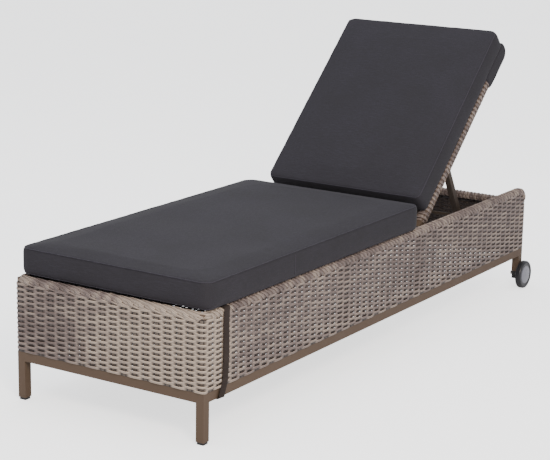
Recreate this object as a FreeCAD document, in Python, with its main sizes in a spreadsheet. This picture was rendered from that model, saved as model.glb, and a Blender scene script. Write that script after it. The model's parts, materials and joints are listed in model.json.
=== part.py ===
import FreeCAD, Part

import math
import os
import re

import Sketcher
from FreeCAD import Placement, Rotation, Vector

# A woven garden sun lounger with a reclining backrest, a fold-down stay and two wheels.
# Frame: X across, +Y towards the head end, +Z up.  The origin is on the floor, under the
# middle of the object.  Lengths are millimetres and angles are degrees.
SIZES = {
    # whole object
    "overall_length": 2042,
    # base ring of rectangular tube
    "ring_length": 2000,
    "ring_width": 660,
    "ring_wide": 26,
    "ring_tall": 29,
    "ring_under": 119,
    "tube_wall": 1.6,
    # legs, glides and axle blocks
    "glide_tall": 7,
    "glide_stem": 22,
    "plug_play": 0.2,
    "rear_leg_under": 60,
    "block_under": 33,
    # wheels
    "wheel_radius": 50,
    "tyre_bore": 38,
    "tyre_wide": 22,
    "wheel_middle": 345,
    "axle_radius": 4,
    "axle_play": 0.06,
    # woven skin and its rims
    "weave_proud": 5,
    "weave_thick": 4,
    "rim_top": 372,
    "rim_wide": 30,
    "rim_tall": 26,
    "rim_bend": 45,
    "head_rim_top": 326,
    "wrap_thick": 4,
    "rim_cover": 7,
    "deck_top": 370,
    "deck_thick": 7,
    # inner frame
    "post_wide": 20,
    "deck_bar": 20,
    # recline hinge
    "hinge_place": 267,
    "hinge_height": 350,
    "recline": 43.4,
    "hinge_radius": 5,
    "bush_wall": 1.5,
    "bush_flange": 9,
    "running_play": 0.05,
    "plate_thick": 4,
    # backrest frame
    "back_half": 295,
    "back_end": 752,
    "back_heel": 22,
    "back_tube_wide": 28,
    "back_tube_tall": 30,
    "back_wrap": 4.5,
    # stay and its racks
    "stay_pivot": 300,
    "stay_slope": 60,
    "stay_drop": 30,
    "stay_inset": 247,
    "stay_tube": 20,
    "stay_pin": 4,
    "foot_radius": 6,
    "foot_half": 288,
    "rack_place": 276,
    "rack_thick": 5,
    "rack_under": 292,
    "rack_gap": 0.8,
    # cushions, hood and strap
    "seat_half": 338,
    "seat_start": 10,
    "seat_end": 1200,
    "seat_under": 375,
    "seat_thick": 85,
    "back_pad_half": 300,
    "back_pad_start": 48,
    "back_pad_end": 781,
    "back_pad_under": 21,
    "back_pad_thick": 83,
    "pad_corner": 26,
    "pad_edge": 14,
    "hood_start": 617,
    "hood_end": 762,
    "hood_thick": 1.6,
    "strap_wide": 27,
    "strap_thick": 2,
    "strap_top": 85,
    "strap_low": 60,
}

doc = FreeCAD.newDocument("sun_lounger")
sheet = doc.addObject("Spreadsheet::Sheet", "Sizes")
for row, (alias, number) in enumerate(SIZES.items(), start=1):
    sheet.set("A%d" % row, alias)
    sheet.set("B%d" % row, str(number))
    sheet.setAlias("B%d" % row, alias)
doc.recompute()

# Places that several pieces share, as formulas of the sheet's cells.
SKIN_FOOT = "(-overall_length/2)"
RING_FOOT = "(weave_proud-overall_length/2)"
RING_HEAD = "(weave_proud-overall_length/2+ring_length)"
SKIN_HEAD = "(2*weave_proud-overall_length/2+ring_length)"
SKIN_SIDE = "(ring_width/2+weave_proud)"
RING_TOP = "(ring_under+ring_tall)"
RIM_UNDER = "(rim_top-rim_tall)"
RIM_INNER = "(ring_width/2+weave_proud-rim_wide)"
BEND_Y = "(2*weave_proud-overall_length/2+ring_length-rim_bend)"
BEND_Z = "(rim_top-rim_bend)"
AXLE_Y = "(overall_length/2-wheel_radius)"
BACK_INNER = "(back_half-2*back_wrap-back_tube_wide)"

FULL_TURN = 360
SIDES = (("left", -1), ("right", 1))
SOLID_TOLERANCE = 1e-6


def size(formula):
    """The value of a formula of the sheet's cells."""
    return float(sheet.evalExpression(str(formula)))


def bind(item, prop, formula):
    """Tie one property of a document object to the sheet."""
    text = re.sub(r"[a-z_]+", lambda word: "Sizes." * (word.group(0) in SIZES) + word.group(0), str(formula))
    item.setExpression(prop, text)


def origin_plane(body, role):
    for feature in body.Origin.OriginFeatures:
        if feature.Role == role:
            return feature
    raise RuntimeError("no plane " + role)


def outline(body, name, role, points, offset="0"):
    """A closed outline on one of the body's origin planes; every corner is tied to the sheet."""
    sketch = body.newObject("Sketcher::SketchObject", name)
    sketch.AttachmentSupport = [(origin_plane(body, role), "")]
    sketch.MapMode = "FlatFace"
    bind(sketch, "AttachmentOffset.Base.z", offset)
    spots = [Vector(size(across), size(along), 0) for across, along in points]
    for index, spot in enumerate(spots):
        sketch.addGeometry(Part.LineSegment(spot, spots[(index + 1) % len(spots)]), False)
    for index in range(len(spots)):
        following = (index + 1) % len(spots)
        sketch.addConstraint(Sketcher.Constraint("Coincident", index, 2, following, 1))
    for index, (across, along) in enumerate(points):
        spot = spots[index]
        for kind, formula, value in (("DistanceX", across, spot.x), ("DistanceY", along, spot.y)):
            number = sketch.addConstraint(Sketcher.Constraint(kind, -1, 1, index, 1, value))
            bind(sketch, "Constraints[%d]" % number, formula)
    return sketch


def rectangle(low_a, high_a, low_b, high_b):
    return [(low_a, low_b), (high_a, low_b), (high_a, high_b), (low_a, high_b)]


def edges_along(shape, axis):
    """Names of the straight edges that run along one axis."""
    names = []
    for index, edge in enumerate(shape.Edges, start=1):
        straight = isinstance(edge.Curve, Part.Line)
        if straight and abs(abs(edge.Curve.Direction.dot(axis)) - 1) < SOLID_TOLERANCE:
            names.append("Edge%d" % index)
    return names


def pad(label, role, points, start, length):
    """A body with one padded outline, from start along the plane's normal."""
    body = doc.addObject("PartDesign::Body", label)
    body.Label = label
    profile = outline(body, label + "_outline", role, points, start)
    feature = body.newObject("PartDesign::Pad", label + "_pad")
    feature.Profile = profile
    bind(feature, "Length", length)
    profile.Visibility = False
    doc.recompute()
    return body


def pocket(body, role, points, start, length, upward=True):
    """Cut an outline out of a body, along the plane's normal, and check that it cut."""
    before = body.Shape.Volume
    profile = outline(body, body.Name + "_cut_outline", role, points, start)
    feature = body.newObject("PartDesign::Pocket", body.Name + "_cut")
    feature.Profile = profile
    feature.Reversed = upward
    bind(feature, "Length", length)
    doc.recompute()
    if body.Shape.Volume > before - 1:
        raise RuntimeError(body.Label + ": the pocket cut nothing")
    return body


def soften(body, axis, radius):
    """Round the edges that run along an axis."""
    tip = body.Tip
    feature = body.newObject("PartDesign::Fillet", body.Name + "_round")
    feature.Base = (tip, edges_along(tip.Shape, axis))
    bind(feature, "Radius", radius)
    doc.recompute()
    return body


AXES = {"X": Vector(1, 0, 0), "Y": Vector(0, 1, 0), "Z": Vector(0, 0, 1)}


def block(label, x_span, y_span, z_span, bore=None, corner=None):
    """A box between three pairs of formulas; bore hollows it along an axis, corner rounds that axis."""
    tall = "(%s)-(%s)" % (z_span[1], z_span[0])
    body = pad(label, "XY_Plane", rectangle(*x_span, *y_span), z_span[0], tall)
    if bore:
        spans = {"X": x_span, "Y": y_span, "Z": z_span}
        inner = {}
        for axis, (low, high) in spans.items():
            if axis == bore:
                inner[axis] = (low, high)
            else:
                inner[axis] = ("(%s)+tube_wall" % low, "(%s)-tube_wall" % high)
        rise = "(%s)-(%s)" % (inner["Z"][1], inner["Z"][0])
        pocket(body, "XY_Plane", rectangle(*inner["X"], *inner["Y"]), inner["Z"][0], rise)
    if corner:
        soften(body, AXES[corner[0]], corner[1])
    return body


def turned(label, points):
    """A body turned about X; each point is a place along X and a radius."""
    body = doc.addObject("PartDesign::Body", label)
    body.Label = label
    profile = outline(body, label + "_outline", "XY_Plane", points)
    feature = body.newObject("PartDesign::Revolution", label + "_turn")
    feature.Profile = profile
    feature.ReferenceAxis = (profile, ["H_Axis"])
    feature.Angle = FULL_TURN
    profile.Visibility = False
    doc.recompute()
    return body


def group(label, pieces):
    """Separate solids that share one node."""
    item = doc.addObject("Part::Compound", label)
    item.Label = label
    item.Links = pieces
    doc.recompute()
    return item


def cut(label, base, tool):
    item = doc.addObject("Part::Cut", label)
    item.Label = label
    item.Base = base
    item.Tool = tool
    doc.recompute()
    return item


def cross_cylinder(label, radius, x_span, y_place, z_place):
    """A cylinder along X between two formulas."""
    item = doc.addObject("Part::Cylinder", label)
    item.Label = label
    bind(item, "Radius", radius)
    bind(item, "Height", "(%s)-(%s)" % (x_span[1], x_span[0]))
    item.Placement = Placement(Vector(0, 0, 0), Rotation(Vector(0, 1, 0), 90))
    bind(item, "Placement.Base.x", x_span[0])
    bind(item, "Placement.Base.y", y_place)
    bind(item, "Placement.Base.z", z_place)
    doc.recompute()
    return item


def ride_backrest(item):
    """Turn a piece that is drawn in the flat backrest's own frame up to the stored recline."""
    item.Placement = Placement(Vector(0, 0, 0), Rotation(Vector(1, 0, 0), size("recline")))
    bind(item, "Placement.Base.y", "hinge_place")
    bind(item, "Placement.Base.z", "hinge_height")
    bind(item, "Placement.Rotation.Angle", "recline")
    doc.recompute()
    return item


def move(item, x="0", y="0", z="0"):
    """Move a piece to a place given by formulas."""
    for axis, formula in (("x", x), ("y", y), ("z", z)):
        bind(item, "Placement.Base." + axis, formula)
    doc.recompute()
    return item


def sided(sign, low, high):
    """A span across X, given for the right side and mirrored for the left."""
    if sign > 0:
        return (low, high)
    return ("-(%s)" % high, "-(%s)" % low)


nodes = []


def keep(item):
    nodes.append(item)
    return item


# Base ring: four mitred lengths of hollow rectangular tube.
def mitred_rail(label, length, turn, x, y):
    """A ring rail along its local X, its outer edge at local Y = 0 and its ends mitred."""
    ends = [("-(%s)/2" % length, "0"), ("(%s)/2" % length, "0"),
            ("(%s)/2-ring_wide" % length, "ring_wide"), ("-(%s)/2+ring_wide" % length, "ring_wide")]
    body = pad(label, "XY_Plane", ends, "0", "ring_tall")
    inner = [("-(%s)/2+tube_wall" % length, "tube_wall"), ("(%s)/2-tube_wall" % length, "tube_wall"),
             ("(%s)/2-ring_wide+tube_wall" % length, "ring_wide-tube_wall"),
             ("-(%s)/2+ring_wide-tube_wall" % length, "ring_wide-tube_wall")]
    pocket(body, "XY_Plane", inner, "tube_wall", "ring_tall-2*tube_wall")
    body.Placement = Placement(Vector(0, 0, 0), Rotation(Vector(0, 0, 1), turn))
    return keep(move(body, x, y, "ring_under"))


RING_MIDDLE = "(weave_proud-overall_length/2+ring_length/2)"
mitred_rail("ring_side_rail_right", "ring_length", 90, "ring_width/2", RING_MIDDLE)
mitred_rail("ring_side_rail_left", "ring_length", -90, "-ring_width/2", RING_MIDDLE)
mitred_rail("ring_foot_rail", "ring_width", 0, "0", RING_FOOT)
mitred_rail("ring_head_rail", "ring_width", 180, "0", RING_HEAD)

# Legs, glides and axle blocks.
LEG_IN = "ring_width/2-ring_wide"
LEG_OUT = "ring_width/2"
FRONT_Y = (RING_FOOT, RING_FOOT + "+ring_wide")
REAR_Y = (RING_HEAD + "-ring_wide", RING_HEAD)
GLIDE_STEP = 1.5
GLIDE_ROUND = 3
STEM = "(tube_wall+plug_play)"
for side, sign in SIDES:
    leg_x = sided(sign, LEG_IN, LEG_OUT)
    keep(block("front_leg_" + side, leg_x, FRONT_Y, ("glide_tall", "ring_under"), bore="Z"))
    keep(block("rear_leg_" + side, leg_x, REAR_Y, ("rear_leg_under", "ring_under"), bore="Z"))
    foot = block("glide_foot_" + side, (leg_x[0] + "+%s" % GLIDE_STEP, leg_x[1] + "-%s" % GLIDE_STEP),
                 (FRONT_Y[0] + "+%s" % GLIDE_STEP, FRONT_Y[1] + "-%s" % GLIDE_STEP), ("0", "glide_tall"),
                 corner=("Z", str(GLIDE_ROUND)))
    stem = block("glide_stem_" + side, (leg_x[0] + "+" + STEM, leg_x[1] + "-" + STEM),
                 (FRONT_Y[0] + "+" + STEM, FRONT_Y[1] + "-" + STEM), ("glide_tall", "glide_tall+glide_stem"))
    glide = doc.addObject("Part::Fuse", "foot_glide_" + side)
    glide.Label = "foot_glide_" + side
    glide.Base = foot
    glide.Tool = stem
    keep(glide)

    cheek = block("block_cheek_" + side, leg_x, REAR_Y, ("block_under", "rear_leg_under"), corner=("Z", "4"))
    plug = block("block_plug_" + side, (leg_x[0] + "+" + STEM, leg_x[1] + "-" + STEM),
                 (REAR_Y[0] + "+" + STEM, REAR_Y[1] + "-" + STEM),
                 ("rear_leg_under", "rear_leg_under+glide_stem"))
    joined = doc.addObject("Part::Fuse", "block_solid_" + side)
    joined.Base = cheek
    joined.Tool = plug
    drill = cross_cylinder("block_drill_" + side, "axle_radius+axle_play/2",
                           sided(sign, LEG_IN + "-5", LEG_OUT + "+5"), AXLE_Y, "wheel_radius")
    keep(cut("axle_block_" + side, joined, drill))

# Wheels: tyre, hub and hub cap, turning on a fixed bolt.  Profiles are drawn for the right
# wheel, from the wheel's middle plane outwards, and turned half round for the left.
TYRE = [("-tyre_wide/2+1", "tyre_bore"), ("tyre_wide/2-1", "tyre_bore"), ("tyre_wide/2", "wheel_radius-5"),
        ("tyre_wide/2-2", "wheel_radius-1.5"), ("tyre_wide/2-5", "wheel_radius"),
        ("-tyre_wide/2+5", "wheel_radius"), ("-tyre_wide/2+2", "wheel_radius-1.5"),
        ("-tyre_wide/2", "wheel_radius-5")]
BORE = "axle_radius+axle_play"
HUB = [("-10", BORE), ("3", BORE), ("3", "10"), ("4", "10"), ("4", "30"), ("9", "33"), ("9", "tyre_bore"),
       ("-9", "tyre_bore"), ("-9", "33"), ("-4", "30"), ("-4", "12"), ("-10", "12")]
CAP = [("9.2", "0"), ("13", "0"), ("12", "22"), ("10.5", "31"), ("9.2", "32.5"), ("6", "30.6"), ("6", "28.4"),
       ("9.2", "29.5")]
BOLT_HEAD = [("3.6", "0"), ("8.4", "0"), ("8.4", "6.5"), ("3.6", "6.5"), ("3.6", "axle_radius"),
             ("-50", "axle_radius"), ("-50", "0")]
WASHER = [("-11.6", "axle_radius+0.3"), ("-10.3", "axle_radius+0.3"), ("-10.3", "9"), ("-11.6", "9")]
NUT = [("-47.8", "axle_radius"), ("-41.3", "axle_radius"), ("-41.3", "7"), ("-47.8", "7")]
bolts = []
fasteners = []
for side, sign in SIDES:
    placed = {}
    for name, profile in (("tyre", TYRE), ("wheel_hub", HUB), ("hub_cap", CAP), ("axle_bolt", BOLT_HEAD),
                          ("axle_washer", WASHER), ("axle_nut", NUT)):
        piece = turned(name + "_" + side, profile)
        piece.Placement = Placement(Vector(0, 0, 0), Rotation(Vector(0, 0, 1), 0 if sign > 0 else 180))
        placed[name] = move(piece, "%d*wheel_middle" % sign, AXLE_Y, "wheel_radius")
    for name in ("tyre", "wheel_hub", "hub_cap"):
        keep(placed[name])
    bolts.append(placed["axle_bolt"])
    fasteners += [placed["axle_washer"], placed["axle_nut"]]
keep(group("axle_bolts", bolts))
keep(group("axle_nuts_and_washers", fasteners))


# Top rails: the side rails run level from the foot and bend down into the rear corner posts.
def bent_rail(label, sign, inset, cover, half_deep, low_z, wall):
    """A rail of rectangular section along the wall's top, bent down at the head end."""
    spine_y = "rim_tall/2"
    bend = "(rim_bend-rim_tall/2)"
    x_span = sided(sign, SKIN_SIDE + "-rim_wide+" + inset, SKIN_SIDE + "-" + cover)
    pieces = []
    level_z = ("rim_top-%s-%s" % (spine_y, half_deep), "rim_top-%s+%s" % (spine_y, half_deep))
    drop_y = (SKIN_HEAD + "-%s-%s" % (spine_y, half_deep), SKIN_HEAD + "-%s+%s" % (spine_y, half_deep))
    start = SKIN_FOOT + "+" + cover
    pieces.append(block(label + "_level", x_span, (start, BEND_Y), level_z, bore="Y" if wall else None))
    pieces.append(block(label + "_drop", x_span, drop_y, (low_z, BEND_Z), bore="Z" if wall else None))
    ring = [(bend + "-" + half_deep, x_span[0]), (bend + "+" + half_deep, x_span[0]),
            (bend + "+" + half_deep, x_span[1]), (bend + "-" + half_deep, x_span[1])]
    turns = [ring]
    if wall:
        turns.append([(bend + "-" + half_deep + "+tube_wall", x_span[0] + "+tube_wall"),
                      (bend + "+" + half_deep + "-tube_wall", x_span[0] + "+tube_wall"),
                      (bend + "+" + half_deep + "-tube_wall", x_span[1] + "-tube_wall"),
                      (bend + "-" + half_deep + "+tube_wall", x_span[1] + "-tube_wall")])
    elbows = [quarter_turn(label + "_elbow_%d" % index, corners) for index, corners in enumerate(turns)]
    pieces.append(elbows[0] if len(elbows) == 1 else cut(label + "_elbow", elbows[0], elbows[1]))
    rail = doc.addObject("Part::MultiFuse", label)
    rail.Label = label
    rail.Shapes = pieces
    rail.Refine = True
    doc.recompute()
    return rail


def quarter_turn(label, corners):
    """A section swept a quarter turn about the rim bend's centre, from level to upright."""
    body = doc.addObject("PartDesign::Body", label)
    profile = outline(body, label + "_outline", "YZ_Plane", [(across, x) for across, x in corners])
    feature = body.newObject("PartDesign::Revolution", label + "_turn")
    feature.Profile = profile
    feature.ReferenceAxis = (profile, ["V_Axis"])
    feature.Angle = QUARTER
    feature.Reversed = False
    body.Placement = Placement(Vector(0, 0, 0), Rotation(Vector(0, 1, 0), QUARTER))
    return move(body, "0", BEND_Y, BEND_Z)


QUARTER = 90
TUBE_INSET = "wrap_thick"
TUBE_DEEP = "(rim_tall/2-wrap_thick)"
for side, sign in SIDES:
    rail = keep(bent_rail("top_rail_" + side, sign, TUBE_INSET, "rim_cover", TUBE_DEEP, RING_TOP, True))
    shell = bent_rail("rim_shell_" + side, sign, "0", "0", "rim_tall/2", BEND_Z + "-1", False)
    core = bent_rail("rim_core_" + side, sign, TUBE_INSET, "rim_cover", TUBE_DEEP, BEND_Z + "-30", False)
    keep(cut("rim_wrap_" + side, shell, core))

# Foot and head rails of the upper frame, with their wraps.  The head rail sits lower, so that
# the backrest can lie flat over it.
FOOT_DEEP = (SKIN_FOOT, SKIN_FOOT + "+rim_wide")
HEAD_DEEP = (SKIN_HEAD + "-rim_wide", SKIN_HEAD)


def wrapped_cross_rail(name, y_span, top):
    """A cross tube between the side rails with its woven wrap."""
    near = name == "foot"
    tube_y = (y_span[0] + ("+rim_cover" if near else "+wrap_thick"),
              y_span[1] + ("-wrap_thick" if near else "-rim_cover"))
    tube_z = (top + "-rim_tall+wrap_thick", top + "-wrap_thick")
    x_span = ("-" + RIM_INNER, RIM_INNER)
    long_x = ("-" + RIM_INNER + "-wrap_thick", RIM_INNER + "+wrap_thick")
    keep(block("top_rail_" + name, long_x, tube_y, tube_z, bore="X"))
    shell = block("rim_shell_" + name, x_span, y_span, (top + "-rim_tall", top), corner=("X", "6"))
    core = block("rim_core_" + name, long_x, tube_y, tube_z)
    keep(cut("rim_wrap_" + name, shell, core))


wrapped_cross_rail("foot", FOOT_DEEP, "rim_top")
wrapped_cross_rail("head", HEAD_DEEP, "head_rim_top")

# Posts between the ring and the upper frame.
POST_ROWS = (SKIN_FOOT + "+rim_cover", "-hinge_place-post_wide/2", "hinge_place-60")
posts = []
for side, sign in SIDES:
    post_x = sided(sign, SKIN_SIDE + "-rim_cover-post_wide", SKIN_SIDE + "-rim_cover")
    for row, low_y in enumerate(POST_ROWS, start=1):
        posts.append(block("post_%s_%d" % (side, row), post_x, (low_y, low_y + "+post_wide"),
                           (RING_TOP, RIM_UNDER), bore="Z"))
keep(group("frame_posts", posts))

# Woven panels.
PANEL_Z = (RING_TOP, RIM_UNDER)
for side, sign in SIDES:
    panel_x = sided(sign, SKIN_SIDE + "-weave_thick", SKIN_SIDE)
    corners = [(SKIN_FOOT + "+weave_thick", RING_TOP), (SKIN_HEAD, RING_TOP), (SKIN_HEAD, BEND_Z + "-1"),
               (SKIN_HEAD + "-rim_tall", BEND_Z + "-1"), (BEND_Y, RIM_UNDER),
               (SKIN_FOOT + "+weave_thick", RIM_UNDER)]
    keep(pad("side_weave_" + side, "YZ_Plane", corners, panel_x[0], "(%s)-(%s)" % (panel_x[1], panel_x[0])))
keep(block("foot_weave", ("-" + SKIN_SIDE, SKIN_SIDE), (SKIN_FOOT, SKIN_FOOT + "+weave_thick"), PANEL_Z))
keep(block("head_weave", ("-" + SKIN_SIDE + "+weave_thick", SKIN_SIDE + "-weave_thick"),
           (SKIN_HEAD + "-weave_thick", SKIN_HEAD), (RING_TOP, "head_rim_top-rim_tall")))

# Seat deck on its cross bars.
DECK_END = "hinge_place-back_heel-14"
DECK_UNDER = "deck_top-deck_thick"
keep(block("deck_weave", ("-" + RIM_INNER, RIM_INNER), (SKIN_FOOT + "+rim_wide", DECK_END),
           (DECK_UNDER, "deck_top")))
BAR_SPOTS = (-800, -560, -320, -80)
bars = []
for row, spot in enumerate(BAR_SPOTS, start=1):
    bars.append(block("deck_bar_%d" % row, ("-" + RIM_INNER, RIM_INNER), (str(spot), "%d+deck_bar" % spot),
                      (DECK_UNDER + "-deck_bar", DECK_UNDER), bore="X"))
keep(group("deck_cross_bars", bars))
keep(block("pivot_cross_tube", ("-" + RIM_INNER, RIM_INNER),
           (DECK_END + "-2*deck_bar", DECK_END + "-deck_bar"),
           (DECK_UNDER + "-deck_bar", DECK_UNDER), bore="X"))

# Recline hinge: a plate on each side wall carries a stud for the backrest rail's bush.
PLATE_OUT = RIM_INNER + "-0.5"
plates = []
studs = []
nuts = []
bushes = []
RAIL_IN = BACK_INNER + "+back_wrap"
RAIL_OUT = "back_half-back_wrap"
STUD_END = RAIL_IN + "-10"
for side, sign in SIDES:
    plate_x = sided(sign, PLATE_OUT + "-plate_thick", PLATE_OUT)
    plate = block("plate_blank_" + side, plate_x, ("hinge_place-30", "hinge_place+30"),
                  ("hinge_height-34", "hinge_height+16"), corner=("X", "8"))
    drill = cross_cylinder("plate_drill_" + side, "hinge_radius",
                           sided(sign, PLATE_OUT + "-9", PLATE_OUT + "+9"),
                           "hinge_place", "hinge_height")
    plates.append(cut("plate_" + side, plate, drill))
    studs.append(cross_cylinder("stud_" + side, "hinge_radius", sided(sign, STUD_END, PLATE_OUT),
                                "hinge_place", "hinge_height"))
    nut = turned("stud_nut_blank_" + side, [("0", "hinge_radius"), ("6", "hinge_radius"),
                                            ("6", "8.5"), ("0", "8.5")])
    nuts.append(move(nut, sided(sign, STUD_END + "+1", STUD_END + "+7")[0], "hinge_place", "hinge_height"))
    bush = turned("bush_" + side, [("0", "hinge_radius+running_play"),
                                   ("back_tube_wide+2", "hinge_radius+running_play"),
                                   ("back_tube_wide+2", "hinge_radius+bush_wall"),
                                   ("1", "hinge_radius+bush_wall"), ("1", "bush_flange"),
                                    ("0", "bush_flange")])
    turn = 0 if sign > 0 else 180
    bush.Placement = Placement(Vector(0, 0, 0), Rotation(Vector(0, 0, 1), turn))
    bushes.append(move(bush, "%d*(%s-1)" % (sign, RAIL_IN), "hinge_place", "hinge_height"))
keep(group("hinge_plates", plates))
keep(group("hinge_studs", studs))
keep(group("hinge_nuts", nuts))
keep(group("hinge_bushes", bushes))


# Backrest, drawn lying flat with the hinge axis as its own X axis.
RAIL_TALL = ("-back_tube_tall/2", "back_tube_tall/2")
RAIL_LONG = ("-back_heel", "back_end")
WRAP_LONG = ("back_heel", "back_end")
WRAP_TALL = ("-back_tube_tall/2-back_wrap", "back_tube_tall/2+back_wrap")
PIN_BORE = "stay_pin"
for side, sign in SIDES:
    rail_x = sided(sign, RAIL_IN, RAIL_OUT)
    tube = block("back_tube_" + side, rail_x, RAIL_LONG, RAIL_TALL, bore="Y")
    tool = group("back_drills_" + side, [
        cross_cylinder("bush_drill_" + side, "hinge_radius+bush_wall",
                       sided(sign, RAIL_IN + "-5", RAIL_OUT + "+5"),
                       "0", "0"),
        cross_cylinder("pin_drill_" + side, PIN_BORE, sided(sign, RAIL_IN + "-5", RAIL_OUT + "+5"),
                       "stay_pivot", "0")])
    keep(ride_backrest(cut("backrest_rail_" + side, tube, tool)))
    wrap_x = sided(sign, BACK_INNER, "back_half")
    shell = block("back_wrap_shell_" + side, wrap_x, WRAP_LONG, WRAP_TALL, corner=("Y", "7"))
    core = block("back_wrap_core_" + side, rail_x, RAIL_LONG, RAIL_TALL)
    pin_way = cross_cylinder("wrap_drill_" + side, PIN_BORE, sided(sign, BACK_INNER + "-5", RAIL_OUT),
                             "stay_pivot", "0")
    opened = group("back_wrap_tools_" + side, [core, pin_way])
    keep(ride_backrest(cut("backrest_wrap_" + side, shell, opened)))
INNER_X = ("-(%s)" % BACK_INNER, BACK_INNER)
BETWEEN_X = ("-(%s)" % RAIL_IN, RAIL_IN)
keep(ride_backrest(block("backrest_top_rail", INNER_X, ("back_end-back_tube_wide", "back_end"), RAIL_TALL,
                         bore="X")))
keep(ride_backrest(block("backrest_bottom_rail", INNER_X, ("back_heel", "back_heel+deck_bar"),
                         ("-deck_bar/2", "deck_bar/2"), bore="X")))
CROSS_SPOTS = (190, 630)
crosses = []
for row, spot in enumerate(CROSS_SPOTS, start=1):
    crosses.append(block("back_cross_%d" % row, INNER_X, (str(spot), "%d+deck_bar" % spot),
                         ("back_tube_tall/2-3-deck_bar", "back_tube_tall/2-3"), bore="X"))
keep(ride_backrest(group("backrest_cross_bars", crosses)))
keep(ride_backrest(block("backrest_weave", INNER_X, ("back_heel", "back_end-back_tube_wide"),
                         ("back_tube_tall/2-3", "back_tube_tall/2+back_wrap"))))
pad_y = ("back_pad_start", "back_pad_end")
pad_z = ("back_pad_under", "back_pad_under+back_pad_thick")


def cushion(label, half, y_span, z_span):
    """A boxed cushion: upright corners first, then a soft edge all round."""
    body = block(label, ("-" + half, half), y_span, z_span, corner=("Z", "pad_corner"))
    tip = body.Tip
    rims = []
    for index, edge in enumerate(tip.Shape.Edges, start=1):
        if abs(edge.BoundBox.ZLength) < SOLID_TOLERANCE:
            rims.append("Edge%d" % index)
    feature = body.newObject("PartDesign::Fillet", body.Name + "_soft")
    feature.Base = (tip, rims)
    bind(feature, "Radius", "pad_edge")
    doc.recompute()
    return body


keep(ride_backrest(cushion("back_cushion", "back_pad_half", pad_y, pad_z)))
keep(cushion("seat_cushion", "seat_half",
             (SKIN_FOOT + "+weave_proud+seat_start", SKIN_FOOT + "+weave_proud+seat_end"),
             ("seat_under", "seat_under+seat_thick")))

# Hood: a fabric pocket, sewn to the back cushion, that slips over the backrest's head end.
HOOD_IN = "(back_half+1)"
HOOD_LOW = "(-back_tube_tall/2-back_wrap-1)"
HOOD_HIGH = "(back_pad_under-0.4)"
hood_shell = block("hood_shell", ("-" + HOOD_IN + "-hood_thick", HOOD_IN + "+hood_thick"),
                   ("hood_start", "hood_end"), (HOOD_LOW + "-hood_thick", HOOD_HIGH))
hood_core = block("hood_core", ("-" + HOOD_IN, HOOD_IN), ("hood_start-5", "hood_end-hood_thick"),
                  (HOOD_LOW, HOOD_HIGH + "+5"))
keep(ride_backrest(cut("hood", hood_shell, hood_core)))

# Stay: a U of square tube that hangs from the backrest and stands on the racks.  It is
# drawn along +Y from its pivot, then turned down to the stored slope.
PIVOT_RISE = "stay_pivot*sin(recline)"
PIVOT_RUN = "stay_pivot*cos(recline)"
STAY_LONG = "((stay_pivot*sin(recline)+stay_drop)/sin(stay_slope))"


def ride_stay(item):
    """Turn a piece that is drawn in the stay's own frame down to its stored slope."""
    item.Placement = Placement(Vector(0, 0, 0), Rotation(Vector(1, 0, 0), -size("stay_slope")))
    bind(item, "Placement.Base.y", "hinge_place+" + PIVOT_RUN)
    bind(item, "Placement.Base.z", "hinge_height+" + PIVOT_RISE)
    doc.recompute()
    return item


HALF_STAY = "stay_tube/2"
pins = []
for side, sign in SIDES:
    leg_x = sided(sign, "stay_inset-" + HALF_STAY, "stay_inset+" + HALF_STAY)
    solid = block("stay_blank_" + side, leg_x, ("-" + HALF_STAY, STAY_LONG + "+" + HALF_STAY),
                  ("-" + HALF_STAY, HALF_STAY), corner=("X", "stay_tube/2-1"))
    hollow = pocket(solid, "XY_Plane",
                    rectangle(leg_x[0] + "+tube_wall", leg_x[1] + "-tube_wall", "-stay_tube",
                              STAY_LONG + "+stay_tube"),
                    "tube_wall-" + HALF_STAY, "stay_tube-2*tube_wall")
    wide = sided(sign, "stay_inset-stay_tube", "stay_inset+stay_tube")
    drills = group("stay_drills_" + side, [
        cross_cylinder("stay_pin_drill_" + side, "stay_pin+running_play", wide, "0", "0"),
        cross_cylinder("stay_foot_drill_" + side, "foot_radius", wide, STAY_LONG, "0")])
    keep(ride_stay(cut("stay_leg_" + side, hollow, drills)))
    shaft = cross_cylinder("pin_shaft_" + side, "stay_pin", sided(sign, "stay_inset-13", RAIL_OUT),
                           "stay_pivot", "0")
    head = cross_cylinder("pin_head_" + side, "stay_pin+3", sided(sign, "stay_inset-14", "stay_inset-10.5"),
                          "stay_pivot", "0")
    pin = doc.addObject("Part::Fuse", "pin_" + side)
    pin.Base = shaft
    pin.Tool = head
    pins.append(pin)
keep(ride_backrest(group("stay_pivot_pins", pins)))
foot_bar = cross_cylinder("foot_bar_rod", "foot_radius", ("-foot_half", "foot_half"), STAY_LONG, "0")
keep(ride_stay(group("stay_foot_bar", [foot_bar])))

# Stay racks: a notched plate inside each side wall.  The tips of the teeth follow the path
# that the foot bar takes as the backrest rises, and each notch lies under one position.
PATH_STEP = 4.45
PATH_STEPS = 13
NOTCH_ANGLES = (21.4, 32.4, 43.4, 52.4)
NOTCH_DROP = 6
RACK_TAIL = 25
FLANGE = 4


def foot_path(angle):
    """The foot bar's place behind the hinge and above the floor, with the backrest at an angle."""
    reach = size("stay_pivot")
    long = size(STAY_LONG)
    flat_slope = math.degrees(math.asin(size("stay_drop") / long))
    fold = (size("stay_slope") - flat_slope) / size("recline")
    slope = math.radians(flat_slope + fold * angle)
    lift = math.radians(angle)
    along = size("hinge_place") + reach * math.cos(lift) + long * math.cos(slope)
    high = size("hinge_height") + reach * math.sin(lift) - long * math.sin(slope)
    return along, high


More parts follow.
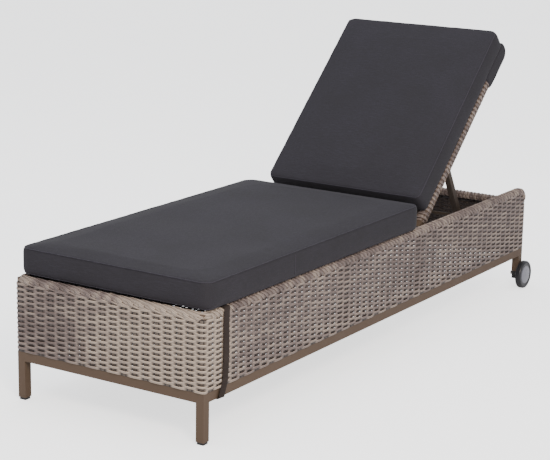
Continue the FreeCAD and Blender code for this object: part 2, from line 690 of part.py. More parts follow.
def rack_shape(sign):
    """A rack plate with its fixing flange, as one solid."""
    clear = size("foot_radius+rack_gap")
    low = size("rack_under")
    crest = [foot_path(PATH_STEP * step) for step in range(PATH_STEPS)]
    crest = [(crest[0][0] + RACK_TAIL, crest[0][1])] + crest + [(crest[-1][0] - RACK_TAIL, crest[-1][1])]
    corners = [Vector(0, along, high - clear) for along, high in crest]
    corners += [Vector(0, crest[-1][0], low), Vector(0, crest[0][0], low)]
    face = Part.Face(Part.makePolygon(corners + corners[:1]))
    inner = size("rack_place")
    plate = face.extrude(Vector(size("rack_thick"), 0, 0))
    plate.translate(Vector(inner, 0, 0))
    for angle in NOTCH_ANGLES:
        along, high = foot_path(angle)
        spot = Vector(inner - 1, along, high - NOTCH_DROP)
        plate = plate.cut(Part.makeCylinder(clear, size("rack_thick") + 2, spot, Vector(1, 0, 0)))
    width = size(RIM_INNER) - inner
    flange = Part.makeBox(width, crest[0][0] - crest[-1][0], FLANGE, Vector(inner, crest[-1][0], low))
    rack = plate.fuse(flange).removeSplitter()
    return rack if sign > 0 else rack.mirror(Vector(0, 0, 0), Vector(1, 0, 0))


for side, sign in SIDES:
    rack = doc.addObject("Part::Feature", "stay_rack_" + side)
    rack.Label = "stay_rack_" + side
    rack.Shape = rack_shape(sign)
    keep(rack)

# Screws that hold the hinge plates to the side walls.
SCREW_PROFILE = [("0", "0"), ("0", "4"), ("2.2", "4"), ("2.2", "2"), ("16", "2"), ("16", "0")]
SCREW_REACH = 20
SCREW_RISE = 10
screws = []
for side, sign in SIDES:
    for offset in (-SCREW_REACH, SCREW_REACH):
        name = "%s_%s" % (side, "front" if offset < 0 else "rear")
        screw = turned("plate_screw_" + name, SCREW_PROFILE)
        screw.Placement = Placement(Vector(0, 0, 0), Rotation(Vector(0, 0, 1), 0 if sign > 0 else 180))
        screws.append(move(screw, "%d*(%s-plate_thick-2.2)" % (sign, PLATE_OUT), "hinge_place+%d" % offset,
                           "hinge_height+%d" % SCREW_RISE))
keep(group("plate_screws", screws))

# Cushion strap: webbing sewn under the seat cushion that runs down both sides and under
# the ring, leaning a little towards the foot.
STRAP_IN = SKIN_SIDE + "+0.4"
STRAP_OUT = SKIN_SIDE + "+0.4+strap_thick"
STRAP_TOP = ("rim_top+0.4", "rim_top+0.4+strap_thick")
STRAP_LOW = ("ring_under-0.4-strap_thick", "ring_under-0.4")
strap_high_y = (RING_FOOT + "+strap_top", RING_FOOT + "+strap_top+strap_wide")
strap_low_y = (RING_FOOT + "+strap_low", RING_FOOT + "+strap_low+strap_wide")
runs = [block("strap_under", ("-" + "(" + STRAP_OUT + ")", STRAP_OUT), strap_low_y, STRAP_LOW)]
for side, sign in SIDES:
    fall = [(strap_high_y[0], STRAP_TOP[1]), (strap_low_y[0], STRAP_LOW[0]), (strap_low_y[1], STRAP_LOW[0]),
            (strap_high_y[1], STRAP_TOP[1])]
    run_x = sided(sign, STRAP_IN, STRAP_OUT)
    runs.append(pad("strap_fall_" + side, "YZ_Plane", fall, run_x[0], "strap_thick"))
    runs.append(block("strap_tab_" + side, sided(sign, RIM_INNER, STRAP_OUT), strap_high_y, STRAP_TOP))
strap = doc.addObject("Part::MultiFuse", "cushion_strap")
strap.Label = "cushion_strap"
strap.Shapes = runs
strap.Refine = True
keep(strap)

doc.recompute()
for item in doc.Objects:
    if "Invalid" in item.State or "Error" in item.State:
        raise RuntimeError(item.Label + " failed: " + str(item.State))
os.makedirs("parts", exist_ok=True)
for node in nodes:
    if node.Shape.isNull() or not node.Shape.isValid() or not node.Shape.Solids:
        raise RuntimeError(node.Label + " has no valid solid")
    node.Shape.exportStep("parts/" + node.Label + ".step")
    box = node.Shape.BoundBox
    print("%-24s x %7.1f %7.1f  y %7.1f %7.1f  z %6.1f %6.1f  solids %d" % (
        node.Label, box.XMin, box.XMax, box.YMin, box.YMax, box.ZMin, box.ZMax, len(node.Shape.Solids)))
print(len(nodes), "nodes")
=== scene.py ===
"""Reclining woven sun lounger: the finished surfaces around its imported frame.

Woven skirt, braided rims, wrapped back rails, sewn cushions with their hood, webbing
strap and the finish of every metal, rubber and plastic part. Lengths are in metres.
"""

import json
import math

import bmesh
import bpy
from bpy.props import FloatProperty, FloatVectorProperty, IntProperty, PointerProperty
from bpy.types import Operator, Panel, PropertyGroup
from mathutils import Matrix, Vector, noise
from mathutils.bvhtree import BVHTree
from mathutils.kdtree import KDTree
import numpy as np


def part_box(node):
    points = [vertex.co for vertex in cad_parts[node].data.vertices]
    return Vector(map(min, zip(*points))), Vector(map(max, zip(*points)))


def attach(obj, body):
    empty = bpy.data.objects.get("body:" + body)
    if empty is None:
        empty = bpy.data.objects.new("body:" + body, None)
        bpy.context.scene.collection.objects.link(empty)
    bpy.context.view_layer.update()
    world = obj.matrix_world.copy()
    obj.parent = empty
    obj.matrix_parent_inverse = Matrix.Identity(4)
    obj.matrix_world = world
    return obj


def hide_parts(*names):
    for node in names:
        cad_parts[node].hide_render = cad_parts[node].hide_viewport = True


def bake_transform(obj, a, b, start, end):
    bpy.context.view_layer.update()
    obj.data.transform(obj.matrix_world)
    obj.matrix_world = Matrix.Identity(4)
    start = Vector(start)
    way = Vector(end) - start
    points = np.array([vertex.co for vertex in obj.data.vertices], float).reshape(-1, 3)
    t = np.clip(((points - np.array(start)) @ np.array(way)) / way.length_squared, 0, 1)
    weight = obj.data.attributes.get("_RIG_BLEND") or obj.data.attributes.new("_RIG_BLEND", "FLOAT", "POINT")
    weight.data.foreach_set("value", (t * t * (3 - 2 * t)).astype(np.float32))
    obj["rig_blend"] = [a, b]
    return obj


bl_info = {
    "name": "Woven Sun Lounger",
    "version": (1, 0, 0),
    "blender": (4, 5, 0),
    "location": "View3D > Sidebar > Lounger",
    "description": "Builds the woven, sewn and coated surfaces of a reclining sun lounger",
    "category": "Object",
}

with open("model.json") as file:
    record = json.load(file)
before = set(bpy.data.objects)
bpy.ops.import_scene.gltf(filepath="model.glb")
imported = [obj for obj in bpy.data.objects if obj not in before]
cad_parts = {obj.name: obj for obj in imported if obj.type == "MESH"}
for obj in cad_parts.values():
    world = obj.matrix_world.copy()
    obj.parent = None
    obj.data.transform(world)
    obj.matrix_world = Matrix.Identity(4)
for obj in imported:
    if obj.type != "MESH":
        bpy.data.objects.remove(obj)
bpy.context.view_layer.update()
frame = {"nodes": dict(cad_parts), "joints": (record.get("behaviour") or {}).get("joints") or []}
X_AXIS, Y_AXIS, Z_AXIS = Vector((1, 0, 0)), Vector((0, 1, 0)), Vector((0, 0, 1))
HINGE = next(joint for joint in frame["joints"] if joint["name"] == "recline")
LEAN = math.radians(43.4)
# The back at rest: X across, Y up the back along its rails, Z towards the sitter.
BACK_PLACE = Matrix.Translation(HINGE["pos_m"]) @ Matrix.Rotation(LEAN, 4, "X")
SIDES = (("left", -1), ("right", 1))
# How much a cane that passes behind a stake spreads, so that no light comes through.
BEHIND_SPREAD = 0.4
# The corner round which a warm pool of light is painted into the canes' colour.
PAINTED_LIGHT_CORNER = (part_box("side_weave_right")[1].x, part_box("foot_weave")[0].y, 0.25)


def tint(name, description, colour):
    """A colour property in linear light."""
    return FloatVectorProperty(name=name, description=description, subtype="COLOR", size=3,
                               min=0, max=1, default=colour)


def distance(name, description, value):
    """A length property in metres."""
    return FloatProperty(name=name, description=description, subtype="DISTANCE", unit="LENGTH",
                         min=0, default=value)


class WickerSettings(PropertyGroup):
    """Sizes and colours of the synthetic cane and of how it is woven and wrapped."""
    stake_pitch: distance("Stake Pitch", "From one upright stake to the next", 0.0374)
    row_pitch: distance("Row Pitch", "From one woven row to the next", 0.00733)
    cane_width: distance("Cane Width", "Width of one flat cane", 0.0088)
    cane_depth: distance("Cane Depth", "Thickness of one flat cane", 0.0033)
    swing: distance("Swing", "How far a cane moves in and out past a stake", 0.0027)
    gather: FloatProperty(name="Gather", description="How much a cane narrows over a stake",
                          default=0.24, min=0, max=0.6)
    rim_width: distance("Rim Cane", "Width of one cane of a rim", 0.0066)
    stake_width: distance("Stake Width", "Width of an upright stake", 0.0135)
    corner: distance("Corner", "Radius of the skirt's upright corners", 0.010)
    climb: distance("Climb", "How far the weave climbs over the lower edge of a rim", 0.008)
    wrap_pitch: distance("Wrap Pitch", "From one turn of a wrapped rim to the next", 0.0092)
    wrap_lead: distance("Wrap Lead", "How far a side rim's cane travels in one turn", 0.085)
    braid_pitch: distance("Braid Pitch", "From one cane of the foot braid to the next", 0.0187)
    braid_lead: distance("Braid Lead", "How far a braid cane travels in one turn", 0.28)
    light: tint("Light Cane", "The palest canes", (0.56, 0.45, 0.36))
    middle: tint("Middle Cane", "Most of the canes", (0.265, 0.200, 0.180))
    dark: tint("Dark Cane", "The darkest streaks", (0.155, 0.112, 0.100))
    # Painted shade: the colour that cane lying behind a stake, the stakes and the gaps are darkened to.
    painted_shade: tint("Painted Shade", "Cane behind a stake and in the gaps", (0.030, 0.021, 0.019))


class CushionSettings(PropertyGroup):
    """Sizes and colours of the sewn cushions, their hood and their strap."""
    edge: distance("Edge Radius", "Rounding of the foam along a seam", 0.011)
    corner: distance("Corner Radius", "Rounding of the seat cushion's corners", 0.034)
    back_corner: distance("Back Corner", "Rounding of the back cushion's corners", 0.018)
    crown: distance("Crown", "How far a panel may swell between its seams", 0.007)
    seam: distance("Seam Radius", "Radius of the sewn ridge along an edge", 0.0013)
    voxel: distance("Voxel", "Size of the cloth's facets before smoothing", 0.0088)
    steps: IntProperty(name="Cloth Steps", description="Frames of cloth simulation", default=20,
                       min=1)
    cloth: tint("Cloth", "Woven cover of the cushions", (0.035, 0.032, 0.041))
    cloth_dark: tint("Cloth Shade", "Darker threads of the cover", (0.023, 0.021, 0.024))
    webbing: tint("Webbing", "Strap that holds the cushion", (0.040, 0.027, 0.022))


class CoatSettings(PropertyGroup):
    """Colours of the coated, moulded and plated parts."""
    coat: tint("Frame Coat", "Powder coat of the tubes", (0.115, 0.078, 0.054))
    coat_worn: tint("Worn Coat", "Powder coat where it has rubbed", (0.135, 0.098, 0.076))
    rack: tint("Rack Coat", "Coat of the stay and its racks", (0.060, 0.045, 0.036))
    plastic: tint("Black Plastic", "Glides and axle blocks", (0.018, 0.018, 0.019))
    tyre: tint("Tyre", "Soft tread of the wheels", (0.016, 0.016, 0.020))
    hub: tint("Hub", "Moulded wheel hub", (0.06, 0.06, 0.065))
    cap: tint("Hub Cap", "Grey hub cap", (0.20, 0.20, 0.24))
    zinc: tint("Zinc", "Plated bolts and nuts", (0.52, 0.51, 0.49))
    nylon: tint("Nylon", "Bushes of the hinge", (0.045, 0.045, 0.045))


class StageSettings(PropertyGroup):
    """Camera, floor and light."""
    azimuth: FloatProperty(name="Azimuth", description="Camera's turn about the lounger",
                           subtype="ANGLE", unit="ROTATION", default=math.radians(32.899))
    elevation: FloatProperty(name="Elevation", description="Camera's height above the horizon",
                             subtype="ANGLE", unit="ROTATION", default=math.radians(13.777))
    roll: FloatProperty(name="Roll", description="Camera's turn about its own axis",
                        subtype="ANGLE", unit="ROTATION", default=math.radians(0.962))
    away: distance("Distance", "From the camera to its target", 5.5992)
    target: FloatVectorProperty(name="Target", description="Point the camera looks at",
                                subtype="TRANSLATION", size=3, default=(-0.09725, -0.016, 0.34454))
    lens: FloatProperty(name="Lens", description="Focal length in millimetres", default=111.99,
                        min=1)
    floor: tint("Floor", "Pale floor", (0.92, 0.92, 0.92))
    glow: tint("Floor Glow", "Brightness that the pale floor adds to its own picture",
               (1.6, 1.6, 1.6))


# ---------------------------------------------------------------- shader nodes


def add(tree, kind, sockets=None, **settings):
    """Adds a node, sets its properties, and fills or joins its inputs by name or number."""
    node = tree.nodes.new("ShaderNode" + kind)
    for name, value in settings.items():
        setattr(node, name, value)
    for name, value in (sockets or {}).items():
        if isinstance(value, bpy.types.NodeSocket):
            tree.links.new(value, node.inputs[name])
        else:
            node.inputs[name].default_value = value
    return node


def shade(colour):
    """A colour with its alpha."""
    return (*colour, 1.0)


def colour_mix(tree, share, first, second, blend="MIX"):
    """A colour between first and second by share."""
    node = add(tree, "Mix", {0: share, 6: first, 7: second}, data_type="RGBA", blend_type=blend)
    return node.outputs[2]


def arithmetic(tree, operation, first, second=0.0):
    """One Math node."""
    return add(tree, "Math", {0: first, 1: second}, operation=operation).outputs[0]


def spread(tree, value, low, high, to_low=0.0, to_high=1.0):
    """Maps value from low..high to to_low..to_high."""
    return add(tree, "MapRange", {"Value": value, "From Min": low, "From Max": high,
                                  "To Min": to_low, "To Max": to_high}).outputs[0]


def group_tree(name, inputs, outputs):
    """A shader node group with typed inputs and outputs: (tree, its inputs, its output node)."""
    tree = bpy.data.node_groups.new(name, "ShaderNodeTree")
    for label, kind, default in inputs:
        socket = tree.interface.new_socket(label, in_out="INPUT", socket_type="NodeSocket" + kind)
        if default is not None:
            socket.default_value = default
    for label, kind in outputs:
        tree.interface.new_socket(label, in_out="OUTPUT", socket_type="NodeSocket" + kind)
    return tree, tree.nodes.new("NodeGroupInput").outputs, tree.nodes.new("NodeGroupOutput")


def use_group(tree, name, sockets):
    """Places a node group and fills its inputs."""
    node = tree.nodes.new("ShaderNodeGroup")
    node.node_tree = bpy.data.node_groups[name]
    for label, value in sockets.items():
        if isinstance(value, bpy.types.NodeSocket):
            tree.links.new(value, node.inputs[label])
        else:
            node.inputs[label].default_value = value
    return node.outputs


def surface(name, **finish):
    """A new material: (its tree, its Principled node, Object coordinates)."""
    material = bpy.data.materials.new(name)
    material.use_nodes = True
    tree = material.node_tree
    shader = tree.nodes["Principled BSDF"]
    for label, value in finish.items():
        shader.inputs[label.replace("_", " ").title().replace("Ior", "IOR")].default_value = value
    place = add(tree, "TexCoord").outputs["Object"]
    return material, tree, shader, place


def wire(tree, shader, colour=None, roughness=None, height=None, bump=0.001, strength=1.0):
    """Joins a look's outputs to the shader."""
    if colour is not None:
        tree.links.new(colour, shader.inputs["Base Color"])
    if roughness is not None:
        tree.links.new(roughness, shader.inputs["Roughness"])
    if height is not None:
        node = add(tree, "Bump", {"Height": height, "Distance": bump, "Strength": strength})
        tree.links.new(node.outputs[0], shader.inputs["Normal"])


def cane_group():
    """Extruded cane: tone by cane, streaks along it, a fine grain, painted shade where a cane lies back and
    along its edges, and a painted pool of light round the near corner.
    """
    tree, given, out = group_tree(
        "cane_look",
        [("Place", "Vector", None), ("Tone", "Float", 0.5), ("Lane", "Float", 0.5),
         ("Depth", "Float", 1.0), ("Light", "Color", None), ("Middle", "Color", None),
         ("Dark", "Color", None), ("Painted Shade", "Color", None)],
        [("Color", "Color"), ("Roughness", "Float"), ("Height", "Float")])
    patch = add(tree, "TexNoise", {"Vector": given["Place"], "Scale": 3.2, "Detail": 2.0})
    lanes = add(tree, "CombineXYZ", {"X": arithmetic(tree, "MULTIPLY", given["Lane"], 34.0),
                                     "Y": arithmetic(tree, "MULTIPLY", given["Tone"], 60.0)})
    streak = add(tree, "TexNoise", {"Vector": lanes.outputs[0], "Scale": 1.0, "Detail": 2.0})
    grain = add(tree, "TexNoise", {"Vector": given["Place"], "Scale": 420.0, "Detail": 3.0})
    # Painted light: the canes are made paler in a pool round the near corner of the foot, fading within half
    # a metre and towards the back.
    corner = add(tree, "VectorMath", {0: given["Place"], 1: PAINTED_LIGHT_CORNER}, operation="DISTANCE")
    front = spread(tree, add(tree, "SeparateXYZ", {0: given["Place"]}).outputs[1],
                   PAINTED_LIGHT_CORNER[1] + 0.16, PAINTED_LIGHT_CORNER[1] + 0.07)
    painted_light_here = arithmetic(tree, "MULTIPLY", front,
                           spread(tree, corner.outputs["Value"], 0.50, 0.06))
    clouded = arithmetic(tree, "ADD", given["Tone"],
                         spread(tree, patch.outputs[0], 0.3, 0.7, -0.14, 0.14))
    tone = arithmetic(tree, "ADD", clouded, arithmetic(tree, "MULTIPLY", painted_light_here, 0.9))
    pale = colour_mix(tree, spread(tree, tone, 0.35, 0.95), given["Middle"], given["Light"])
    mixed = colour_mix(tree, spread(tree, tone, 0.40, 0.02), pale, given["Dark"])
    lined = colour_mix(tree, spread(tree, streak.outputs[0], 0.52, 0.75, 0.0, 0.42), mixed,
                       given["Dark"])
    speck = colour_mix(tree, spread(tree, grain.outputs[0], 0.55, 0.75, 0.0, 0.25), lined,
                       given["Light"])
    # Painted shade: cane that lies back, the stakes and the edges of every cane are darkened towards the
    # painted-shade colour.
    edge = arithmetic(tree, "ABSOLUTE", arithmetic(tree, "SUBTRACT", given["Lane"], 0.5))
    share_outside_painted_shade = arithmetic(tree, "MULTIPLY", spread(tree, given["Depth"], 0.36, 0.70),
                            spread(tree, edge, 0.25, 0.5, 1.0, 0.45))
    tree.links.new(colour_mix(tree, share_outside_painted_shade, given["Painted Shade"], speck), out.inputs["Color"])
    tree.links.new(spread(tree, grain.outputs[0], 0.3, 0.7, 0.42, 0.60), out.inputs["Roughness"])
    height = arithmetic(tree, "ADD", arithmetic(tree, "MULTIPLY", streak.outputs[0], 0.8),
                        arithmetic(tree, "MULTIPLY", grain.outputs[0], 0.4))
    tree.links.new(height, out.inputs["Height"])


def cloth_group():
    """Plain woven cover cloth: threads both ways, slubs, and a faint cloudiness."""
    tree, given, out = group_tree(
        "cloth_look",
        [("Place", "Vector", None), ("Threads", "Float", 900.0), ("Cloud", "Float", 7.0),
         ("Thread", "Color", None), ("Shade", "Color", None)],
        [("Color", "Color"), ("Roughness", "Float"), ("Height", "Float")])
    ways = []
    for stretch in ((1.0, 0.05, 1.0), (0.05, 1.0, 1.0)):
        along = add(tree, "VectorMath", {0: given["Place"], 1: stretch}, operation="MULTIPLY")
        ways.append(add(tree, "TexNoise", {"Vector": along.outputs[0], "Scale": given["Threads"],
                                           "Detail": 1.0}).outputs[0])
    thread = arithmetic(tree, "MAXIMUM", ways[0], ways[1])
    slub = add(tree, "TexNoise", {"Vector": given["Place"], "Scale": 260.0, "Detail": 3.0})
    cloud = add(tree, "TexNoise", {"Vector": given["Place"], "Scale": given["Cloud"],
                                   "Detail": 3.0})
    mixed = colour_mix(tree, spread(tree, thread, 0.42, 0.68), given["Shade"], given["Thread"])
    slubbed = colour_mix(tree, spread(tree, slub.outputs[0], 0.45, 0.8, 0.0, 0.5), mixed,
                         given["Thread"])
    clouded = colour_mix(tree, spread(tree, cloud.outputs[0], 0.35, 0.65, 0.0, 0.35), slubbed,
                         given["Shade"])
    tree.links.new(clouded, out.inputs["Color"])
    tree.links.new(spread(tree, slub.outputs[0], 0.3, 0.7, 0.72, 0.9), out.inputs["Roughness"])
    height = arithmetic(tree, "ADD", thread, arithmetic(tree, "MULTIPLY", slub.outputs[0], 0.6))
    tree.links.new(height, out.inputs["Height"])


def coat_group():
    """Powder coat or moulded skin: fine orange peel, a cloudy tone and rubbed patches."""
    tree, given, out = group_tree(
        "coat_look",
        [("Place", "Vector", None), ("Grain", "Float", 700.0), ("Colour", "Color", None),
         ("Worn", "Color", None), ("Wear", "Float", 0.3), ("Gloss", "Float", 0.4)],
        [("Color", "Color"), ("Roughness", "Float"), ("Height", "Float")])
    peel = add(tree, "TexNoise", {"Vector": given["Place"], "Scale": given["Grain"],
                                  "Detail": 2.0})
    rub = add(tree, "TexNoise", {"Vector": given["Place"], "Scale": 9.0, "Detail": 6.0,
                                 "Roughness": 0.65})
    cloud = add(tree, "TexNoise", {"Vector": given["Place"], "Scale": 2.6, "Detail": 2.0})
    rubbed = arithmetic(tree, "MULTIPLY", spread(tree, rub.outputs[0], 0.52, 0.72),
                        given["Wear"])
    base = colour_mix(tree, rubbed, given["Colour"], given["Worn"])
    flecked = colour_mix(tree, spread(tree, peel.outputs[0], 0.6, 0.8, 0.0, 0.3), base,
                         given["Worn"])
    deep = colour_mix(tree, spread(tree, cloud.outputs[0], 0.35, 0.65, 0.0, 0.3), flecked,
                      given["Colour"], blend="MULTIPLY")
    softened = colour_mix(tree, 0.25, flecked, deep)
    tree.links.new(softened, out.inputs["Color"])
    rough = arithmetic(tree, "ADD", given["Gloss"],
                       spread(tree, rub.outputs[0], 0.3, 0.7, -0.06, 0.10))
    tree.links.new(rough, out.inputs["Roughness"])
    tree.links.new(peel.outputs[0], out.inputs["Height"])


def cane_material(name, settings):
    """Cane whose tone, lanes and painted shade come from the strands' own attributes."""
    material, tree, shader, place = surface(name, coat_weight=0.12, coat_roughness=0.4)
    tone = add(tree, "Attribute", attribute_name="tone").outputs["Fac"]
    lane = add(tree, "Attribute", attribute_name="lane").outputs["Fac"]
    depth = add(tree, "Attribute", attribute_name="depth").outputs["Fac"]
    look = use_group(tree, "cane_look", {
        "Place": place, "Tone": tone, "Lane": lane, "Depth": depth,
        "Light": shade(settings.light), "Middle": shade(settings.middle),
        "Dark": shade(settings.dark), "Painted Shade": shade(settings.painted_shade)})
    wire(tree, shader, look["Color"], look["Roughness"], look["Height"], 0.0003, 0.6)
    return material


def cloth_material(name, thread, dark, threads=800.0, cloud=7.0):
    """Sewn cover cloth or webbing."""
    material, tree, shader, place = surface(name, sheen_weight=0.04, sheen_roughness=0.4,
                                            specular_ior_level=0.22)
    look = use_group(tree, "cloth_look", {"Place": place, "Threads": threads, "Cloud": cloud,
                                          "Thread": shade(thread), "Shade": shade(dark)})
    wire(tree, shader, look["Color"], look["Roughness"], look["Height"], 0.0002, 0.5)
    return material


def coat_material(name, colour, worn, wear=0.3, gloss=0.4, grain=700.0, bump=0.0001, **finish):
    """Powder coat, rubber, plastic or plating."""
    material, tree, shader, place = surface(name, **finish)
    look = use_group(tree, "coat_look", {"Place": place, "Grain": grain, "Colour": shade(colour),
                                         "Worn": shade(worn), "Wear": wear, "Gloss": gloss})
    wire(tree, shader, look["Color"], look["Roughness"], look["Height"], bump, 0.6)
    return material


# ---------------------------------------------------------------- mesh helpers


def vertices_of(result, key="geom"):
    """The vertices in what a bmesh operator returns."""
    return [item for item in result[key] if isinstance(item, bmesh.types.BMVert)]


def publish(bm, name, material, body, nodes=()):
    """Makes the finished mesh a piece that rides on a body and stands for CAD nodes."""
    mesh = bpy.data.meshes.new(name)
    bm.to_mesh(mesh)
    bm.free()
    mesh.shade_smooth()
    mesh.materials.append(bpy.data.materials[material])
    piece = bpy.data.objects.new(name, mesh)
    bpy.context.scene.collection.objects.link(piece)
    if nodes:
        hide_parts(*nodes)
    if body:
        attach(piece, body)
    return piece


def repeat(bm, step, count, start=0):
    """Repeats everything from vertex number start on, each copy one step further."""
    tile = bm.verts[start:] if start else bm.verts[:]
    edges = {edge for vert in tile for edge in vert.link_edges}
    faces = {face for vert in tile for face in vert.link_faces}
    geometry = list(tile) + list(edges) + list(faces)
    for index in range(1, count):
        copy = bmesh.ops.duplicate(bm, geom=geometry)
        bmesh.ops.translate(bm, vec=step * index, verts=vertices_of(copy))


def sweep(bm, frames, width, depth, sides=6, capped=False):
    """Skins a flat cane through frames: X across it, Y outwards, Z along it. Returns its vertices."""
    lane = bm.verts.layers.float["lane"]
    flat = Matrix.Diagonal((width, depth, 1, 1))
    ring = bmesh.ops.create_circle(bm, segments=sides, radius=0.5, cap_ends=capped,
                                   matrix=frames[0] @ flat)["verts"]
    for index, vert in enumerate(ring):
        vert[lane] = abs(2 * index / sides - 1)
    edges = list({edge for vert in ring for edge in vert.link_edges})
    made, before = list(ring), frames[0]
    for after in frames[1:]:
        grown = bmesh.ops.extrude_edge_only(bm, edges=edges)
        edges = [item for item in grown["geom"] if isinstance(item, bmesh.types.BMEdge)]
        verts = vertices_of(grown)
        made += verts
        bmesh.ops.transform(bm, matrix=after @ before.inverted(), verts=verts)
        edges = [edge for edge in edges if all(vert in verts for vert in edge.verts)]
        before = after
    if capped:
        bmesh.ops.contextual_create(bm, geom=edges)
    return made


def cane_mesh():
    """An empty mesh with the attributes that the cane material reads."""
    bm = bmesh.new()
    for name in ("lane", "tone", "depth"):
        bm.verts.layers.float.new(name)
    return bm


def facing(place, along, outwards):
    """A frame at place with Z along a cane, Y outwards from what it covers and X across it."""
    along = along.normalized()
    outwards = (outwards - along * outwards.dot(along)).normalized()
    across = outwards.cross(along)
    matrix = Matrix((across, outwards, along)).transposed().to_4x4()
    matrix.translation = place
    return matrix


def trim(bm, low, high):
    """Cuts the mesh square at two distances along X and closes the cut canes."""
    for place, way in ((low, -1), (high, 1)):
        geometry = bm.verts[:] + bm.edges[:] + bm.faces[:]
        bmesh.ops.bisect_plane(bm, geom=geometry, plane_co=(place, 0, 0), plane_no=(way, 0, 0),
                               clear_outer=True, dist=1e-6)
    rims = [edge for edge in bm.edges if len(edge.link_faces) == 1]
    bmesh.ops.holes_fill(bm, edges=rims, sides=0)


class Route:
    """Straight runs joined by arcs about one axis. A frame on it has X along and Z on the axis."""

    def __init__(self, points, radius, axis, closed=False):
        points = [Vector(point) for point in points]
        self.axis, self.runs, self.length = axis.normalized(), [], 0.0
        count = len(points)
        legs = [(points[(i + 1) % count] - points[i]) for i in range(count if closed else count - 1)]
        turns = []
        for index in range(len(legs)):
            last = index == len(legs) - 1
            if last and not closed:
                turns.append(0.0)
                continue
            first, second = legs[index], legs[(index + 1) % len(legs)]
            turns.append(math.atan2(first.cross(second).dot(self.axis), first.dot(second)))
        cuts = [radius * math.tan(abs(turn) / 2) for turn in turns]
        for index, leg in enumerate(legs):
            before = cuts[index - 1] if (index or closed) else 0.0
            along = leg.normalized()
            start = points[index] + along * before
            self.add_run(start, along, leg.length - before - cuts[index], 0.0)
            if turns[index]:
                self.add_run(points[index] + leg - along * cuts[index], along,
                             radius * abs(turns[index]), turns[index])

    def add_run(self, start, along, length, turn):
        """Adds a straight run, or an arc where turn isn't nought."""
        self.runs.append((self.length, length, start, along, turn))
        self.length += length

    def at(self, reach):
        """The frame at a distance along the route."""
        run = next((r for r in self.runs if reach <= r[0] + r[1]), self.runs[-1])
        begin, length, start, along, turn = run
        gone = reach - begin
        if turn:
            radius = length / abs(turn)
            side = self.axis.cross(along) * math.copysign(1, turn)
            angle = turn * gone / length
            along = Matrix.Rotation(angle, 3, self.axis) @ along
            side_now = self.axis.cross(along) * math.copysign(1, turn)
            place = start + side * radius - side_now * radius
        else:
            place = start + along * gone
        matrix = Matrix((along, self.axis.cross(along), self.axis)).transposed().to_4x4()
        matrix.translation = place
        return matrix

    def lay(self, bm):
        """Bends a mesh made along X so that it follows the route."""
        for vert in bm.verts:
            reach = vert.co.x
            vert.co = self.at(reach % self.length if reach > self.length + 1e-6 else reach) @ \
                Vector((0, vert.co.y, vert.co.z))


def tone_by_row(bm, settings, row_step, seed):
    """Gives each woven row its own slowly changing tone, and stores how far out each point lies, from which
    the cane look paints shade where cane lies behind a stake.
    """
    tone, depth = bm.verts.layers.float["tone"], bm.verts.layers.float["depth"]
    for vert in bm.verts:
        row = math.floor(vert.co.z / row_step)
        slow = noise.noise((vert.co.x * 1.7, row * 9.7, seed * 13))
        own = noise.cell((math.floor(vert.co.x / settings.stake_pitch), row, seed))
        vert[tone] = 0.5 + 0.16 * slow + 0.22 * (own - 0.5)
        # How far out a point lies: the cane look paints shade on what lies back, the stakes included.
        vert[depth] = 0.5 + 0.5 * vert.co.y / settings.swing


def woven_panel(settings, length, rows, row_step, segments=12, sides=6):
    """A plain weave along X, outwards Y, its rows stacked up Z from nought."""
    pitch = settings.stake_pitch
    periods = math.ceil(length / (2 * pitch)) + 2
    bm = cane_mesh()
    for row in (0, 1):
        frames = []
        for index in range(segments + 1):
            along = 2 * pitch * index / segments
            phase = math.pi * (along / pitch + row)
            place = Vector((along, settings.swing * math.cos(phase), (row + 0.5) * row_step))
            slope = -settings.swing * math.pi / pitch * math.sin(phase)
            frames.append(facing(place, Vector((1, slope, 0)), Y_AXIS))
        for vert in sweep(bm, frames, settings.cane_width, settings.cane_depth, sides):
            middle = (row + 0.5) * row_step
            side = max(-1.0, min(1.0, vert.co.y / settings.swing))
            share = 1 - (settings.gather * side ** 2 if side > 0 else BEHIND_SPREAD * side)
            vert.co.z = middle + (vert.co.z - middle) * share
    repeat(bm, Z_AXIS * 2 * row_step, math.ceil(rows / 2))
    tall = rows * row_step
    if rows % 2:
        spare = [vert for vert in bm.verts if vert.co.z > tall + 0.001]
        bmesh.ops.delete(bm, geom=spare, context="VERTS")
    for index in (0, 1):
        foot = Vector((index * pitch + pitch * 1e-3, -settings.cane_depth * 0.4, 0))
        frames = [facing(foot + Z_AXIS * up, Z_AXIS, Y_AXIS) for up in (0, tall)]
        sweep(bm, frames, settings.stake_width, settings.cane_depth * 0.8, 8, capped=True)
    repeat(bm, X_AXIS * 2 * pitch, periods)
    bmesh.ops.translate(bm, vec=(-2 * pitch, 0, 0), verts=bm.verts[:])
    bmesh.ops.remove_doubles(bm, verts=bm.verts[:], dist=1e-5)
    return bm


